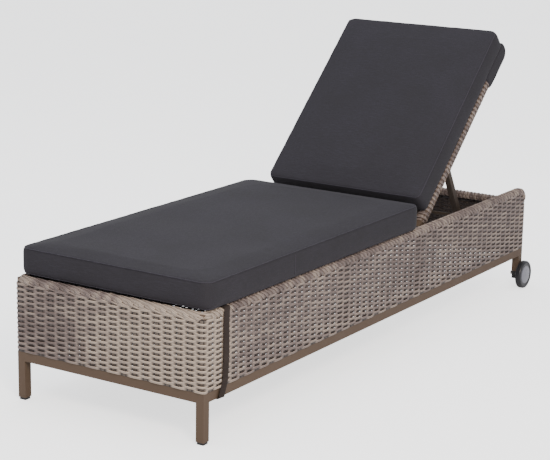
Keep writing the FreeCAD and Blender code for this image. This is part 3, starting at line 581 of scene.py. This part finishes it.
def wrap(section, length, pitch, lead, width, depth, corner, pair):
    """Pairs of canes wound round a bar along X, whose section is (Y half, Z half)."""
    half_y, half_z = section[0] - depth * 0.42, section[1] - depth * 0.42
    corner = min(corner, half_y, half_z) * 0.98
    ring = []
    for quarter in range(4):
        way = (quarter + 0.5) * math.pi / 2
        centre = Vector((0, math.copysign(half_y - corner, math.cos(way)),
                         math.copysign(half_z - corner, math.sin(way))))
        for bit in range(4):
            angle = (quarter + bit / 3) * math.pi / 2
            out = Vector((0, math.cos(angle), math.sin(angle)))
            ring.append((centre + out * corner, out))
    ring.append(ring[0])
    travelled = [0.0]
    for (before, _), (after, _) in zip(ring, ring[1:]):
        travelled.append(travelled[-1] + (after - before).length)
    bm = cane_mesh()
    for start in (0, 1):
        frames = []
        for index, (place, out) in enumerate(ring):
            share = travelled[index] / travelled[-1]
            raised = pair * (start - 0.5)
            here = place + out * raised + X_AXIS * (lead * share + start * pitch)
            ahead, behind = ring[(index + 1) % 16], ring[index - 1 if index else 15]
            around = (ahead[0] - behind[0]).normalized()
            climb = lead / travelled[-1]
            frames.append(facing(here, around + X_AXIS * climb, out))
        for vert in sweep(bm, frames, width, depth, 6):
            # Painted shade: the lower cane of each pair is darkened a little, as it lies in the other's
            # shade.
            vert[bm.verts.layers.float["depth"]] = 1.0 if start else 0.64
    turns = math.ceil((length + lead) / (pitch * 2)) + 2
    repeat(bm, X_AXIS * pitch * 2, turns)
    bmesh.ops.translate(bm, vec=(-lead - pitch, 0, 0), verts=bm.verts[:])
    bmesh.ops.remove_doubles(bm, verts=bm.verts[:], dist=1e-5)
    tone = bm.verts.layers.float["tone"]
    for vert in bm.verts:
        turn = math.floor((vert.co.x - lead * 0.5) / pitch)
        vert[tone] = 0.56 + 0.30 * (noise.cell((turn * 1.01, length, 3)) - 0.5) \
            + 0.25 * noise.noise((vert.co.x * 3, vert.co.y * 9, length))
    trim(bm, 0, length)
    return bm


def roughen(bm, amount, scale):
    """Moves vertices a little, as hand work leaves them."""
    for vert in bm.verts:
        vert.co += noise.noise_vector(vert.co * scale) * amount


def box_within(node, place):
    """A node's lowest and highest corner in the frame of a place."""
    inverse = place.inverted()
    points = [inverse @ vert.co for vert in frame["nodes"][node].data.vertices]
    return (Vector([min(point[axis] for point in points) for axis in range(3)]),
            Vector([max(point[axis] for point in points) for axis in range(3)]))


def close(bm):
    """Turns all faces outwards."""
    bmesh.ops.recalc_face_normals(bm, faces=bm.faces[:])


def solid_box(low, high):
    """A closed box between two corners."""
    bm = bmesh.new()
    size = Vector(high) - Vector(low)
    place = Matrix.Translation((Vector(high) + Vector(low)) / 2) @ Matrix.Diagonal((*size, 1))
    bmesh.ops.create_cube(bm, size=1, matrix=place)
    return bm


def running(bm, axis):
    """The edges that run along an axis."""
    return [edge for edge in bm.edges
            if abs((edge.verts[0].co - edge.verts[1].co).normalized().dot(axis)) > 0.99]


def rounded_box(low, high, corner, edge, axis=Z_AXIS):
    """A box with rounded edges along the axis and a smaller rounding round both its ends."""
    bm = solid_box(low, high)
    bmesh.ops.bevel(bm, geom=running(bm, axis), offset=corner, segments=8, profile=0.5,
                    affect="EDGES", material=-1)
    level = [item for item in bm.edges
             if abs((item.verts[0].co - item.verts[1].co).dot(axis)) < 1e-6
             and len({round(face.normal.dot(axis)) for face in item.link_faces}) == 2]
    bmesh.ops.bevel(bm, geom=level, offset=edge, segments=5, profile=0.5, affect="EDGES",
                    material=-1)
    return bm


def ring_path(low, high, corner, level, step=0.012):
    """Points evenly round a rounded rectangle at one level."""
    corners = [(low[0], low[1], level), (high[0], low[1], level), (high[0], high[1], level),
               (low[0], high[1], level)]
    route = Route(corners, corner, Z_AXIS, closed=True)
    count = round(route.length / step)
    return [route.at(route.length * index / count).translation for index in range(count)]


def swell(bm, settings, seams):
    """Turns a shell into stuffed cloth held along its seams: a mesh with even facets."""
    draft = bpy.data.meshes.new("cushion_draft")
    bm.to_mesh(draft)
    bm.free()
    shell = bpy.data.objects.new("cushion_draft", draft)
    bpy.context.scene.collection.objects.link(shell)
    remesh = shell.modifiers.new("even", "REMESH")
    remesh.mode, remesh.voxel_size = "VOXEL", settings.voxel
    graph = bpy.context.evaluated_depsgraph_get()
    mesh = bpy.data.meshes.new_from_object(shell.evaluated_get(graph))
    bpy.data.objects.remove(shell)
    bpy.data.meshes.remove(draft)
    pad = bpy.data.objects.new("cushion_cloth", mesh)
    bpy.context.scene.collection.objects.link(pad)
    before = [vert.co.copy() for vert in mesh.vertices]
    held = pad.vertex_groups.new(name="held")
    tree = seam_tree(seams)
    for vert in mesh.vertices:
        near = tree.find(vert.co)[2]
        held.add([vert.index], 1.0 if near < settings.voxel * 0.8 else 0.0, "REPLACE")
    cloth = pad.modifiers.new("cloth", "CLOTH")
    cloth.settings.quality = 4
    cloth.settings.mass = 0.3
    cloth.settings.tension_stiffness = cloth.settings.compression_stiffness = 15.0
    cloth.settings.bending_stiffness = 0.5
    cloth.settings.use_pressure = True
    cloth.settings.uniform_pressure_force = 4.0
    cloth.settings.vertex_group_mass = "held"
    cloth.settings.effector_weights.gravity = 0
    cloth.collision_settings.use_collision = False
    cloth.point_cache.frame_start, cloth.point_cache.frame_end = 1, settings.steps
    for step in range(1, settings.steps + 1):
        bpy.context.scene.frame_set(step)
    graph = bpy.context.evaluated_depsgraph_get()
    after = [vert.co.copy() for vert in pad.evaluated_get(graph).data.vertices]
    pad.modifiers.clear()
    bpy.context.scene.frame_set(1)
    for vert, old, new in zip(mesh.vertices, before, after):
        move = new - old
        if move.length > settings.crown:
            move *= settings.crown / move.length
        vert.co = old + move
    bpy.data.objects.remove(pad)
    return mesh


def seam_tree(seams):
    """Finds how near a point is to the seams."""
    points = [point for seam in seams for point in seam]
    tree = KDTree(len(points))
    for index, point in enumerate(points):
        tree.insert(point, index)
    tree.balance()
    return tree


def seam_ridges(settings, mesh, seams, closed):
    """Sewn ridges laid on a cushion's finished surface."""
    surface_tree = BVHTree.FromPolygons([vert.co for vert in mesh.vertices],
                                        [face.vertices for face in mesh.polygons])
    bm = cane_mesh()
    for seam, loop in zip(seams, closed):
        found = [surface_tree.find_nearest(point)[:2] for point in seam]
        frames = []
        for index, (place, normal) in enumerate(found):
            ahead = found[(index + 1) % len(found)][0] if loop or index + 1 < len(found) else place
            behind = found[index - 1][0] if loop or index else place
            frames.append(facing(place, ahead - behind, normal))
        if loop:
            frames.append(frames[0])
        sweep(bm, frames, settings.seam * 2.4, settings.seam * 2, 8, capped=not loop)
    bmesh.ops.remove_doubles(bm, verts=bm.verts[:], dist=1e-6)
    close(bm)
    return bm


def relax_rest(bm, low, strength):
    """Keeps a cushion flat where it rests: nothing hangs below its underside."""
    for vert in bm.verts:
        if vert.co.z < low:
            vert.co.z = low - (low - vert.co.z) * strength


def cushion(settings, name, low, high, corner, place, nodes, folds, joints=()):
    """A boxed cushion: sewn panels, crowned between their seams. Returns its piece and ridges."""
    slim = settings.crown * 0.55
    inner_low = Vector(low) + Vector((slim, slim, 0))
    inner_high = Vector(high) - Vector((slim, slim, slim))
    inset = settings.edge * (1 - math.sqrt(0.5))
    seams = [ring_path(inner_low + Vector((inset, inset, 0)), inner_high - Vector((inset, inset, 0)),
                       corner, level)
             for level in (inner_high.z - inset, inner_low.z + inset)]
    for x, y in joints:
        tall = inner_high.z - inner_low.z - 2 * settings.edge
        seams.append([Vector((x, y, inner_low.z + settings.edge + tall * index / 12))
                      for index in range(13)])
    bm = rounded_box(inner_low, inner_high, corner, settings.edge)
    mesh = swell(bm, settings, seams)
    bm = bmesh.new()
    bm.from_mesh(mesh)
    tree = seam_tree(seams)
    for vert in bm.verts:
        near = tree.find(vert.co)[2]
        ripple = noise.noise(Vector((vert.co.x * 4.3, vert.co.y * 4.3, vert.co.z * 7))) * folds
        pucker = noise.noise(vert.co * 38) * 0.0009 * max(0.0, 1 - near / 0.045)
        vert.co += vert.normal * (ripple * min(1.0, near / 0.05) + pucker)
    relax_rest(bm, low[2], 0.1)
    bm.to_mesh(mesh)
    ridges = seam_ridges(settings, mesh, seams, [True, True] + [False] * len(joints))
    bm.transform(place)
    piece = publish(bm, name, "cover_cloth", None, nodes)
    smooth = piece.modifiers.new("smooth", "SUBSURF")
    smooth.levels = smooth.render_levels = 1
    ridges.transform(place)
    seam = publish(ridges, name + "_seams", "seam_thread", None)
    return piece, seam


# ---------------------------------------------------------------- operators


class LoungerOperator:
    """What every builder here shares."""
    bl_options = {"REGISTER", "UNDO"}


class LOUNGER_OT_looks(LoungerOperator, Operator):
    """Builds the shader node groups and the materials"""
    bl_idname = "lounger.looks"
    bl_label = "Build Looks"

    def execute(self, context):
        scene = context.scene
        coat, cushion = scene.lounger_coat, scene.lounger_cushion
        cane_group()
        cloth_group()
        coat_group()
        cane_material("cane", scene.lounger_wicker)
        cloth_material("cover_cloth", cushion.cloth, cushion.cloth_dark)
        cloth_material("seam_thread", tuple(c * 1.5 for c in cushion.cloth), cushion.cloth)
        cloth_material("strap_weave", cushion.webbing, tuple(c * 0.5 for c in cushion.webbing),
                       threads=420.0, cloud=20.0)
        coat_material("taupe_coat", coat.coat, coat.coat_worn, gloss=0.55,
                      specular_ior_level=0.2)
        coat_material("dark_coat", coat.rack, coat.coat_worn, wear=0.5, gloss=0.55,
                      specular_ior_level=0.2)
        coat_material("moulded_black", coat.plastic, coat.hub, gloss=0.5, grain=900.0)
        coat_material("tread_rubber", coat.tyre, coat.hub, wear=0.6, gloss=0.42, grain=500.0)
        coat_material("hub_moulding", coat.hub, coat.cap, gloss=0.38, grain=900.0)
        coat_material("cap_moulding", coat.cap, coat.zinc, gloss=0.30, grain=900.0, coat_weight=0.3)
        coat_material("zinc_plate", coat.zinc, coat.coat, wear=0.6, gloss=0.30, grain=300.0,
                      metallic=0.95)
        coat_material("bush_nylon", coat.nylon, coat.hub, gloss=0.45, grain=900.0)
        return {"FINISHED"}


class LOUNGER_OT_hardware(LoungerOperator, Operator):
    """Gives every tube, bar, wheel, hinge and fastener its finish"""
    bl_idname = "lounger.hardware"
    bl_label = "Finish Hardware"

    def execute(self, context):
        for name, node in frame["nodes"].items():
            wanted = finish_of(name)
            node.data.materials.clear()
            node.data.materials.append(bpy.data.materials[wanted])
        return {"FINISHED"}


def finish_of(name):
    """The material that a node of the frame takes."""
    words = (("tyre", "tread_rubber"), ("hub_cap", "cap_moulding"), ("wheel_hub", "hub_moulding"),
             ("glide", "moulded_black"), ("axle_block", "moulded_black"),
             ("axle_", "zinc_plate"), ("plate_screws", "zinc_plate"), ("hinge_nuts", "zinc_plate"),
             ("hinge_studs", "zinc_plate"), ("bush", "bush_nylon"), ("stay_pivot", "zinc_plate"),
             ("stay_", "dark_coat"), ("hinge_plates", "dark_coat"), ("weave", "cane"),
             ("wrap", "cane"), ("cushion_strap", "strap_weave"), ("cushion", "cover_cloth"),
             ("hood", "cover_cloth"))
    return next((look for word, look in words if word in name), "taupe_coat")


class LOUNGER_OT_skirt(LoungerOperator, Operator):
    """Weaves the skirt round the foot, the sides and the head"""
    bl_idname = "lounger.skirt"
    bl_label = "Weave Skirt"

    def execute(self, context):
        wicker = context.scene.lounger_wicker
        low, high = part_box("side_weave_right")
        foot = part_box("foot_weave")[0].y
        proud = 0.001
        inset = wicker.swing + wicker.cane_depth / 2 - proud
        side, near, far = high.x - inset, foot + inset, high.y - inset
        corners = [(side, near, low.z), (-side, near, low.z), (-side, far, low.z),
                   (side, far, low.z)]
        route = Route(corners, wicker.corner, Z_AXIS, closed=True)
        rise = high.z - low.z + wicker.climb
        rows = round(rise / wicker.row_pitch)
        row_step = rise / rows
        head_rows = round((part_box("head_weave")[1].z - low.z + wicker.climb) / row_step)
        wicker.stake_pitch = route.length / (2 * round(route.length / wicker.stake_pitch / 2))
        marks = [run[0] for run in route.runs] + [route.length]
        spans = (("left", marks[2], marks[3], rows), ("head", marks[3], marks[6], head_rows),
                 ("right", marks[6], marks[7], rows), ("foot", marks[7], route.length + marks[2],
                                                       rows))
        for name, begin, end, tall in spans:
            bm = woven_panel(wicker, end - begin, tall, row_step)
            shift = begin % (2 * wicker.stake_pitch)
            bmesh.ops.translate(bm, vec=(-shift, 0, 0), verts=bm.verts[:])
            tone_by_row(bm, wicker, row_step, begin)
            trim(bm, 0, end - begin)
            for vert in bm.verts:
                vert.co.x += begin
            route.lay(bm)
            roughen(bm, 0.0005, 60)
            close(bm)
            node = "side_weave_" + name if name in ("left", "right") else name + "_weave"
            publish(bm, "woven_" + name, "cane", "base", [node])
        return {"FINISHED"}


class LOUNGER_OT_seats(LoungerOperator, Operator):
    """Weaves the deck under the cushion and the panel of the back"""
    bl_idname = "lounger.seats"
    bl_label = "Weave Deck and Back"

    def execute(self, context):
        wicker = context.scene.lounger_wicker
        for name, body, node in (("woven_deck", "base", "deck_weave"),
                                 ("woven_back", "backrest", "backrest_weave")):
            self.weave(wicker, name, body, node)
        return {"FINISHED"}

    def weave(self, wicker, name, body, node):
        """One flat panel whose rows run across the lounger."""
        place = BACK_PLACE if body == "backrest" else Matrix.Identity(4)
        low, high = box_within(node, place)
        is_deck, tuck, under = body == "base", 0.008, 0.0
        if is_deck:
            low -= Vector((tuck, tuck, 0))
            high += Vector((tuck, 0, 0))
            under = 0.002
        wide, long = high.x - low.x, high.y - low.y
        rows = round(long / wicker.row_pitch)
        bm = woven_panel(wicker, wide, rows, long / rows, segments=8, sides=4)
        tone_by_row(bm, wicker, long / rows, 0.3)
        if is_deck:
            # Painted shade: the deck lies in the cushion's shadow, so its canes are darkened wholly to the
            # painted-shade colour.
            for vert in bm.verts:
                vert[bm.verts.layers.float["depth"]] *= 0.2
        trim(bm, 0, wide)
        flat = Matrix(((1, 0, 0, low.x), (0, 0, 1, low.y),
                       (0, -1, 0, (low.z + high.z) / 2 - under), (0, 0, 0, 1)))
        bmesh.ops.transform(bm, matrix=place @ flat, verts=bm.verts[:])
        close(bm)
        publish(bm, name, "cane", body, [node])


class LOUNGER_OT_rims(LoungerOperator, Operator):
    """Winds cane round the side and head rims and braids the foot rim"""
    bl_idname = "lounger.rims"
    bl_label = "Wrap Rims"

    def execute(self, context):
        wicker = context.scene.lounger_wicker
        low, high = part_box("rim_wrap_right")
        foot_low, foot_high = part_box("rim_wrap_foot")
        head_low, head_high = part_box("rim_wrap_head")
        tall = foot_high.z - foot_low.z
        wide = high.x - low.x
        spine = Vector(((low.x + high.x) / 2, 0, high.z - tall / 2))
        turn = 0.036
        points = [(spine.x, low.y + turn, spine.z), (spine.x, high.y - tall / 2, spine.z),
                  (spine.x, high.y - tall / 2, low.z)]
        route = Route(points, 0.045 - tall / 2, X_AXIS)
        for name, sign in SIDES:
            bm = wrap((tall / 2, wide / 2), route.length, wicker.wrap_pitch, wicker.wrap_lead,
                      wicker.rim_width, wicker.cane_depth, corner=0.010, pair=0.0016)
            route.lay(bm)
            roughen(bm, 0.0005, 80)
            if sign < 0:
                bmesh.ops.scale(bm, vec=(-1, 1, 1), verts=bm.verts[:])
            close(bm)
            publish(bm, "wrapped_rim_" + name, "cane", "base", ["rim_wrap_" + name])
        middle, head = (foot_low + foot_high) / 2, (head_low + head_high) / 2
        corners = [(spine.x, low.y + turn, middle.z), (spine.x, middle.y, middle.z),
                   (-spine.x, middle.y, middle.z), (-spine.x, low.y + turn, middle.z)]
        bars = (("foot", Route(corners, 0.006, Z_AXIS), foot_low, foot_high,
                 wicker.braid_pitch, wicker.braid_lead),
                ("head", Route([(head_high.x, head.y, head.z), (head_low.x, head.y, head.z)], 0,
                               Z_AXIS),
                 head_low, head_high, wicker.wrap_pitch * 0.8, 0.006))
        for name, path, near, far, pitch, lead in bars:
            bm = wrap(((far.y - near.y) / 2, (far.z - near.z) / 2), path.length, pitch, lead,
                      wicker.rim_width, wicker.cane_depth, corner=0.010, pair=0.0016)
            path.lay(bm)
            roughen(bm, 0.0005, 80)
            close(bm)
            publish(bm, "wrapped_rim_" + name, "cane", "base", ["rim_wrap_" + name])
        return {"FINISHED"}


class LOUNGER_OT_back_rails(LoungerOperator, Operator):
    """Winds cane round the two rails of the back"""
    bl_idname = "lounger.back_rails"
    bl_label = "Wrap Back Rails"

    def execute(self, context):
        wicker = context.scene.lounger_wicker
        low, high = box_within("backrest_wrap_right", BACK_PLACE)
        turn = Matrix(((0, 1, 0, (low.x + high.x) / 2), (1, 0, 0, low.y),
                       (0, 0, -1, (low.z + high.z) / 2), (0, 0, 0, 1)))
        stay_room = 0.0022
        section = ((high.x - low.x) / 2 - stay_room, (high.z - low.z) / 2)
        pitch, lead, wide, thick = 0.0083, 0.014, 0.0078, 0.0036
        for name, sign in SIDES:
            bm = wrap(section, high.y - low.y, pitch, lead, wide, thick, corner=0.012,
                      pair=0.0026)
            bmesh.ops.transform(bm, matrix=turn, verts=bm.verts[:])
            roughen(bm, 0.0005, 80)
            if sign < 0:
                bmesh.ops.scale(bm, vec=(-1, 1, 1), verts=bm.verts[:])
            bmesh.ops.transform(bm, matrix=BACK_PLACE, verts=bm.verts[:])
            close(bm)
            publish(bm, "wrapped_back_rail_" + name, "cane", "backrest",
                    ["backrest_wrap_" + name])
        return {"FINISHED"}


class LOUNGER_OT_seat_cushion(LoungerOperator, Operator):
    """Sews the seat cushion"""
    bl_idname = "lounger.seat_cushion"
    bl_label = "Sew Seat Cushion"

    def execute(self, context):
        settings = context.scene.lounger_cushion
        low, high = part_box("seat_cushion")
        joint_y = low.y + (high.y - low.y) * 0.364
        for piece in cushion(settings, "seat_pad", low, high, settings.corner,
                             Matrix.Identity(4), ["seat_cushion"], 0.0035, [(high.x, joint_y)]):
            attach(piece, "base")
        return {"FINISHED"}


class LOUNGER_OT_back_cushion(LoungerOperator, Operator):
    """Sews the back cushion, which bends at its foot when the back is lowered"""
    bl_idname = "lounger.back_cushion"
    bl_label = "Sew Back Cushion"

    def execute(self, context):
        settings = context.scene.lounger_cushion
        low, high = box_within("back_cushion", BACK_PLACE)
        joint_y = low.y + (high.y - low.y) * 0.55
        pieces = cushion(settings, "back_pad", low, high, settings.back_corner, BACK_PLACE,
                         ["back_cushion"], 0.003, [(-high.x, joint_y)])
        middle = (low.z + high.z) / 2
        start = BACK_PLACE @ Vector((0, low.y - 0.010, middle))
        end = BACK_PLACE @ Vector((0, low.y + 0.230, middle))
        for piece in pieces:
            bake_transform(piece, "base", "backrest", start=tuple(start), end=tuple(end))
        return {"FINISHED"}


class LOUNGER_OT_hood(LoungerOperator, Operator):
    """Sews the hood that holds the back cushion on the top of the back"""
    bl_idname = "lounger.hood"
    bl_label = "Sew Hood"

    def execute(self, context):
        low, high = box_within("hood", BACK_PLACE)
        end = box_within("back_cushion", BACK_PLACE)[1].y
        high.z += 0.012
        high.y = end + 0.001
        bm = solid_box(low, high)
        back_edge = [edge for edge in running(bm, X_AXIS)
                     if edge.verts[0].co.y > end and edge.verts[0].co.z < 0]
        bmesh.ops.bevel(bm, geom=back_edge, offset=0.030, segments=8, profile=0.5,
                        affect="EDGES", material=-1)
        side_edges = [edge for edge in bm.edges
                      if edge not in running(bm, X_AXIS) and edge.calc_face_angle(0) > 1.2]
        bmesh.ops.bevel(bm, geom=side_edges, offset=0.007, segments=3, profile=0.5,
                        affect="EDGES", material=-1)
        mouth = [face for face in bm.faces if face.normal.y < -0.9]
        bmesh.ops.delete(bm, geom=mouth, context="FACES")
        across, along = 34, 12
        for index in range(1, across):
            cut_at(bm, (low.x + (high.x - low.x) * index / across, 0, 0), X_AXIS)
        for index in range(1, along):
            cut_at(bm, (0, low.y + (high.y - low.y) * index / along, 0), Y_AXIS)
        span, tall = high.x - low.x, high.y - low.y
        # Where the head rim lies against the hood when the back is down: no looseness there.
        hinge_y, spare = HINGE["pos_m"][1], 0.008
        rim_begin, rim_end = (corner.y - hinge_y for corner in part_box("rim_wrap_head"))
        for vert in bm.verts:
            x, y, z = vert.co
            clear = max((rim_begin - spare - y) / 0.03, (y - rim_end - spare) / 0.02)
            back = max(0.0, min(1.0, (0.012 - z) / 0.03)) * max(0.0, min(1.0, clear))
            loose = max(0.0, 1 - abs(x) / (span / 2) * 0.75)
            up = (y - low.y) / tall
            billow = 0.004 * loose * math.sin(math.pi * min(1.0, up * 1.1))
            fold = noise.noise(Vector((x * 9, y * 16, 2))) * 0.0022
            vert.co.z -= back * (billow + fold)
            vert.co.x += noise.noise(Vector((y * 22, z * 30, x))) * 0.0012
            hem = 0.010 * math.sin(math.pi * (x / span + 0.5)) * (1 - up) ** 2
            vert.co.y += hem * back
        bmesh.ops.transform(bm, matrix=BACK_PLACE, verts=bm.verts[:])
        close(bm)
        hood = publish(bm, "hood_cover", "cover_cloth", None, ["hood"])
        wall = hood.modifiers.new("wall", "SOLIDIFY")
        wall.thickness, wall.offset = 0.0014, -1.0
        smooth = hood.modifiers.new("smooth", "SUBSURF")
        smooth.levels = smooth.render_levels = 2
        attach(hood, "backrest")
        return {"FINISHED"}


def cut_at(bm, place, normal):
    """Adds a row of edges where a plane crosses the mesh."""
    bmesh.ops.bisect_plane(bm, geom=bm.verts[:] + bm.edges[:] + bm.faces[:], plane_co=place,
                           plane_no=normal, dist=1e-5)


class LOUNGER_OT_strap(LoungerOperator, Operator):
    """Lays the webbing strap that holds the seat cushion down"""
    bl_idname = "lounger.strap"
    bl_label = "Lay Strap"

    def execute(self, context):
        low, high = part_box("cushion_strap")
        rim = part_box("rim_wrap_right")[0].x
        wide, thick, bow = 0.028, 0.0022, 0.0012
        half = high.x - thick / 2 + 0.0008
        top_y, low_y = high.y - wide / 2, low.y + wide / 2
        near_top, near_low = high.z - thick / 2, low.z + thick / 2
        bend_y = top_y + (low_y - top_y) * 0.25
        points = [Vector((rim + 0.004, top_y, near_top)), Vector((half, top_y, near_top)),
                  Vector((half, bend_y, near_low + 0.045)), Vector((half, low_y, near_low)),
                  Vector((0, low_y, near_low))]
        bm = cane_mesh()
        for _, sign in SIDES:
            path = smooth_corners(points, 0.006, 5)
            frames, steps = [], len(path)
            for index, point in enumerate(path):
                ahead = path[min(index + 1, steps - 1)]
                behind = path[max(index - 1, 0)]
                along = ahead - behind
                across = Y_AXIS - along.normalized() * along.normalized().dot(Y_AXIS)
                out = along.cross(across)
                wave = bow * math.sin(point.z * 34) if point.x > half - 0.004 else 0.0
                frames.append(facing(point + X_AXIS * wave, along, out))
            made = sweep(bm, frames, wide, thick, 12, capped=True)
            if sign < 0:
                bmesh.ops.scale(bm, vec=(-1, 1, 1), verts=made)
        close(bm)
        publish(bm, "strap_webbing", "strap_weave", "base", ["cushion_strap"])
        return {"FINISHED"}


def smooth_corners(points, radius, bits):
    """Points along straight runs whose corners are rounded, with the long runs divided."""
    path = [points[0]]
    for before, corner, after in zip(points, points[1:], points[2:]):
        come, go = (corner - before).normalized(), (after - corner).normalized()
        start, end = corner - come * radius, corner + go * radius
        path += [path[-1].lerp(start, share / 14) for share in range(1, 15)]
        for bit in range(1, bits + 1):
            share = bit / bits
            path.append((start.lerp(corner, share)).lerp(corner.lerp(end, share), share))
    path += [path[-1].lerp(points[-1], share / 6) for share in range(1, 7)]
    return path


class LOUNGER_OT_stage(LoungerOperator, Operator):
    """Makes the floor, the light and the camera"""
    bl_idname = "lounger.stage"
    bl_label = "Set Stage"

    def execute(self, context):
        scene, stage = context.scene, context.scene.lounger_stage
        turn = (Matrix.Rotation(stage.azimuth, 4, "Z")
                @ Matrix.Rotation(math.pi / 2 - stage.elevation, 4, "X")
                @ Matrix.Rotation(stage.roll, 4, "Z"))
        back = turn.to_3x3() @ Z_AXIS
        camera = bpy.data.objects.new("camera", bpy.data.cameras.new("camera"))
        camera.data.lens = stage.lens
        camera.matrix_world = Matrix.Translation(Vector(stage.target) + back * stage.away) @ turn
        camera.data.clip_end = 200
        scene.collection.objects.link(camera)
        scene.camera = camera
        bm = bmesh.new()
        bmesh.ops.create_circle(bm, cap_ends=True, segments=96, radius=60)
        mesh = bpy.data.meshes.new("floor")
        bm.to_mesh(mesh)
        bm.free()
        floor = bpy.data.objects.new("floor", mesh)
        material, tree, shader, place = surface("floor_paint", roughness=0.9,
                                                specular_ior_level=0.1)
        mottle = add(tree, "TexNoise", {"Vector": place, "Scale": 1.5, "Detail": 2.0})
        paint = colour_mix(tree, spread(tree, mottle.outputs[0], 0.3, 0.7), shade(stage.floor),
                           shade(tuple(c * 1.02 for c in stage.floor)))
        wire(tree, shader, paint)
        seen = add(tree, "LightPath").outputs["Is Camera Ray"]
        glow = colour_mix(tree, seen, shade((0, 0, 0)), shade(stage.glow))
        tree.links.new(glow, shader.inputs["Emission Color"])
        shader.inputs["Emission Strength"].default_value = 1.0
        mesh.materials.append(material)
        scene.collection.objects.link(floor)
        world = bpy.data.worlds.new("studio")
        world.use_nodes = True
        sky = world.node_tree.nodes["Background"]
        sky.inputs["Color"].default_value = (0.94, 0.96, 1.0, 1.0)
        sky.inputs["Strength"].default_value = 0.85
        scene.world = world
        for name, place, size, power, colour in (
                ("key", (3.3, -3.2, 3.4), 1.4, 170, (1.0, 0.90, 0.78)),
                ("fill", (-3.6, -2.6, 2.6), 2.4, 14, (0.90, 0.94, 1.0)),
                ("top", (-0.4, 0.2, 4.4), 2.6, 62, (0.84, 0.90, 1.0))):
            lamp = bpy.data.lights.new(name, "AREA")
            lamp.shape, lamp.size, lamp.energy, lamp.color = "SQUARE", size, power, colour
            light = bpy.data.objects.new(name, lamp)
            light.location = place
            aim = Vector(stage.target) - Vector(place)
            light.rotation_euler = aim.to_track_quat("-Z", "Y").to_euler()
            scene.collection.objects.link(light)
        return {"FINISHED"}


BUILDERS = (LOUNGER_OT_looks, LOUNGER_OT_hardware, LOUNGER_OT_skirt, LOUNGER_OT_seats,
            LOUNGER_OT_rims, LOUNGER_OT_back_rails, LOUNGER_OT_seat_cushion,
            LOUNGER_OT_back_cushion, LOUNGER_OT_hood, LOUNGER_OT_strap, LOUNGER_OT_stage)


class LOUNGER_PT_panel(Panel):
    """Lists the builders in the sidebar"""
    bl_label = "Woven Sun Lounger"
    bl_idname = "LOUNGER_PT_panel"
    bl_space_type = "VIEW_3D"
    bl_region_type = "UI"
    bl_category = "Lounger"

    def draw(self, context):
        for builder in BUILDERS:
            self.layout.operator(builder.bl_idname)


SETTINGS = {"lounger_wicker": WickerSettings, "lounger_cushion": CushionSettings,
            "lounger_coat": CoatSettings, "lounger_stage": StageSettings}


def register():
    for kind in (*SETTINGS.values(), *BUILDERS, LOUNGER_PT_panel):
        bpy.utils.register_class(kind)
    for name, kind in SETTINGS.items():
        setattr(bpy.types.Scene, name, PointerProperty(type=kind))


def unregister():
    for name in SETTINGS:
        delattr(bpy.types.Scene, name)
    for kind in reversed((*SETTINGS.values(), *BUILDERS, LOUNGER_PT_panel)):
        bpy.utils.unregister_class(kind)


def main():
    """Builds everything in order."""
    register()
    for builder in BUILDERS:
        family, name = builder.bl_idname.split(".")
        getattr(getattr(bpy.ops, family), name)()


if __name__ == "__main__":
    main()
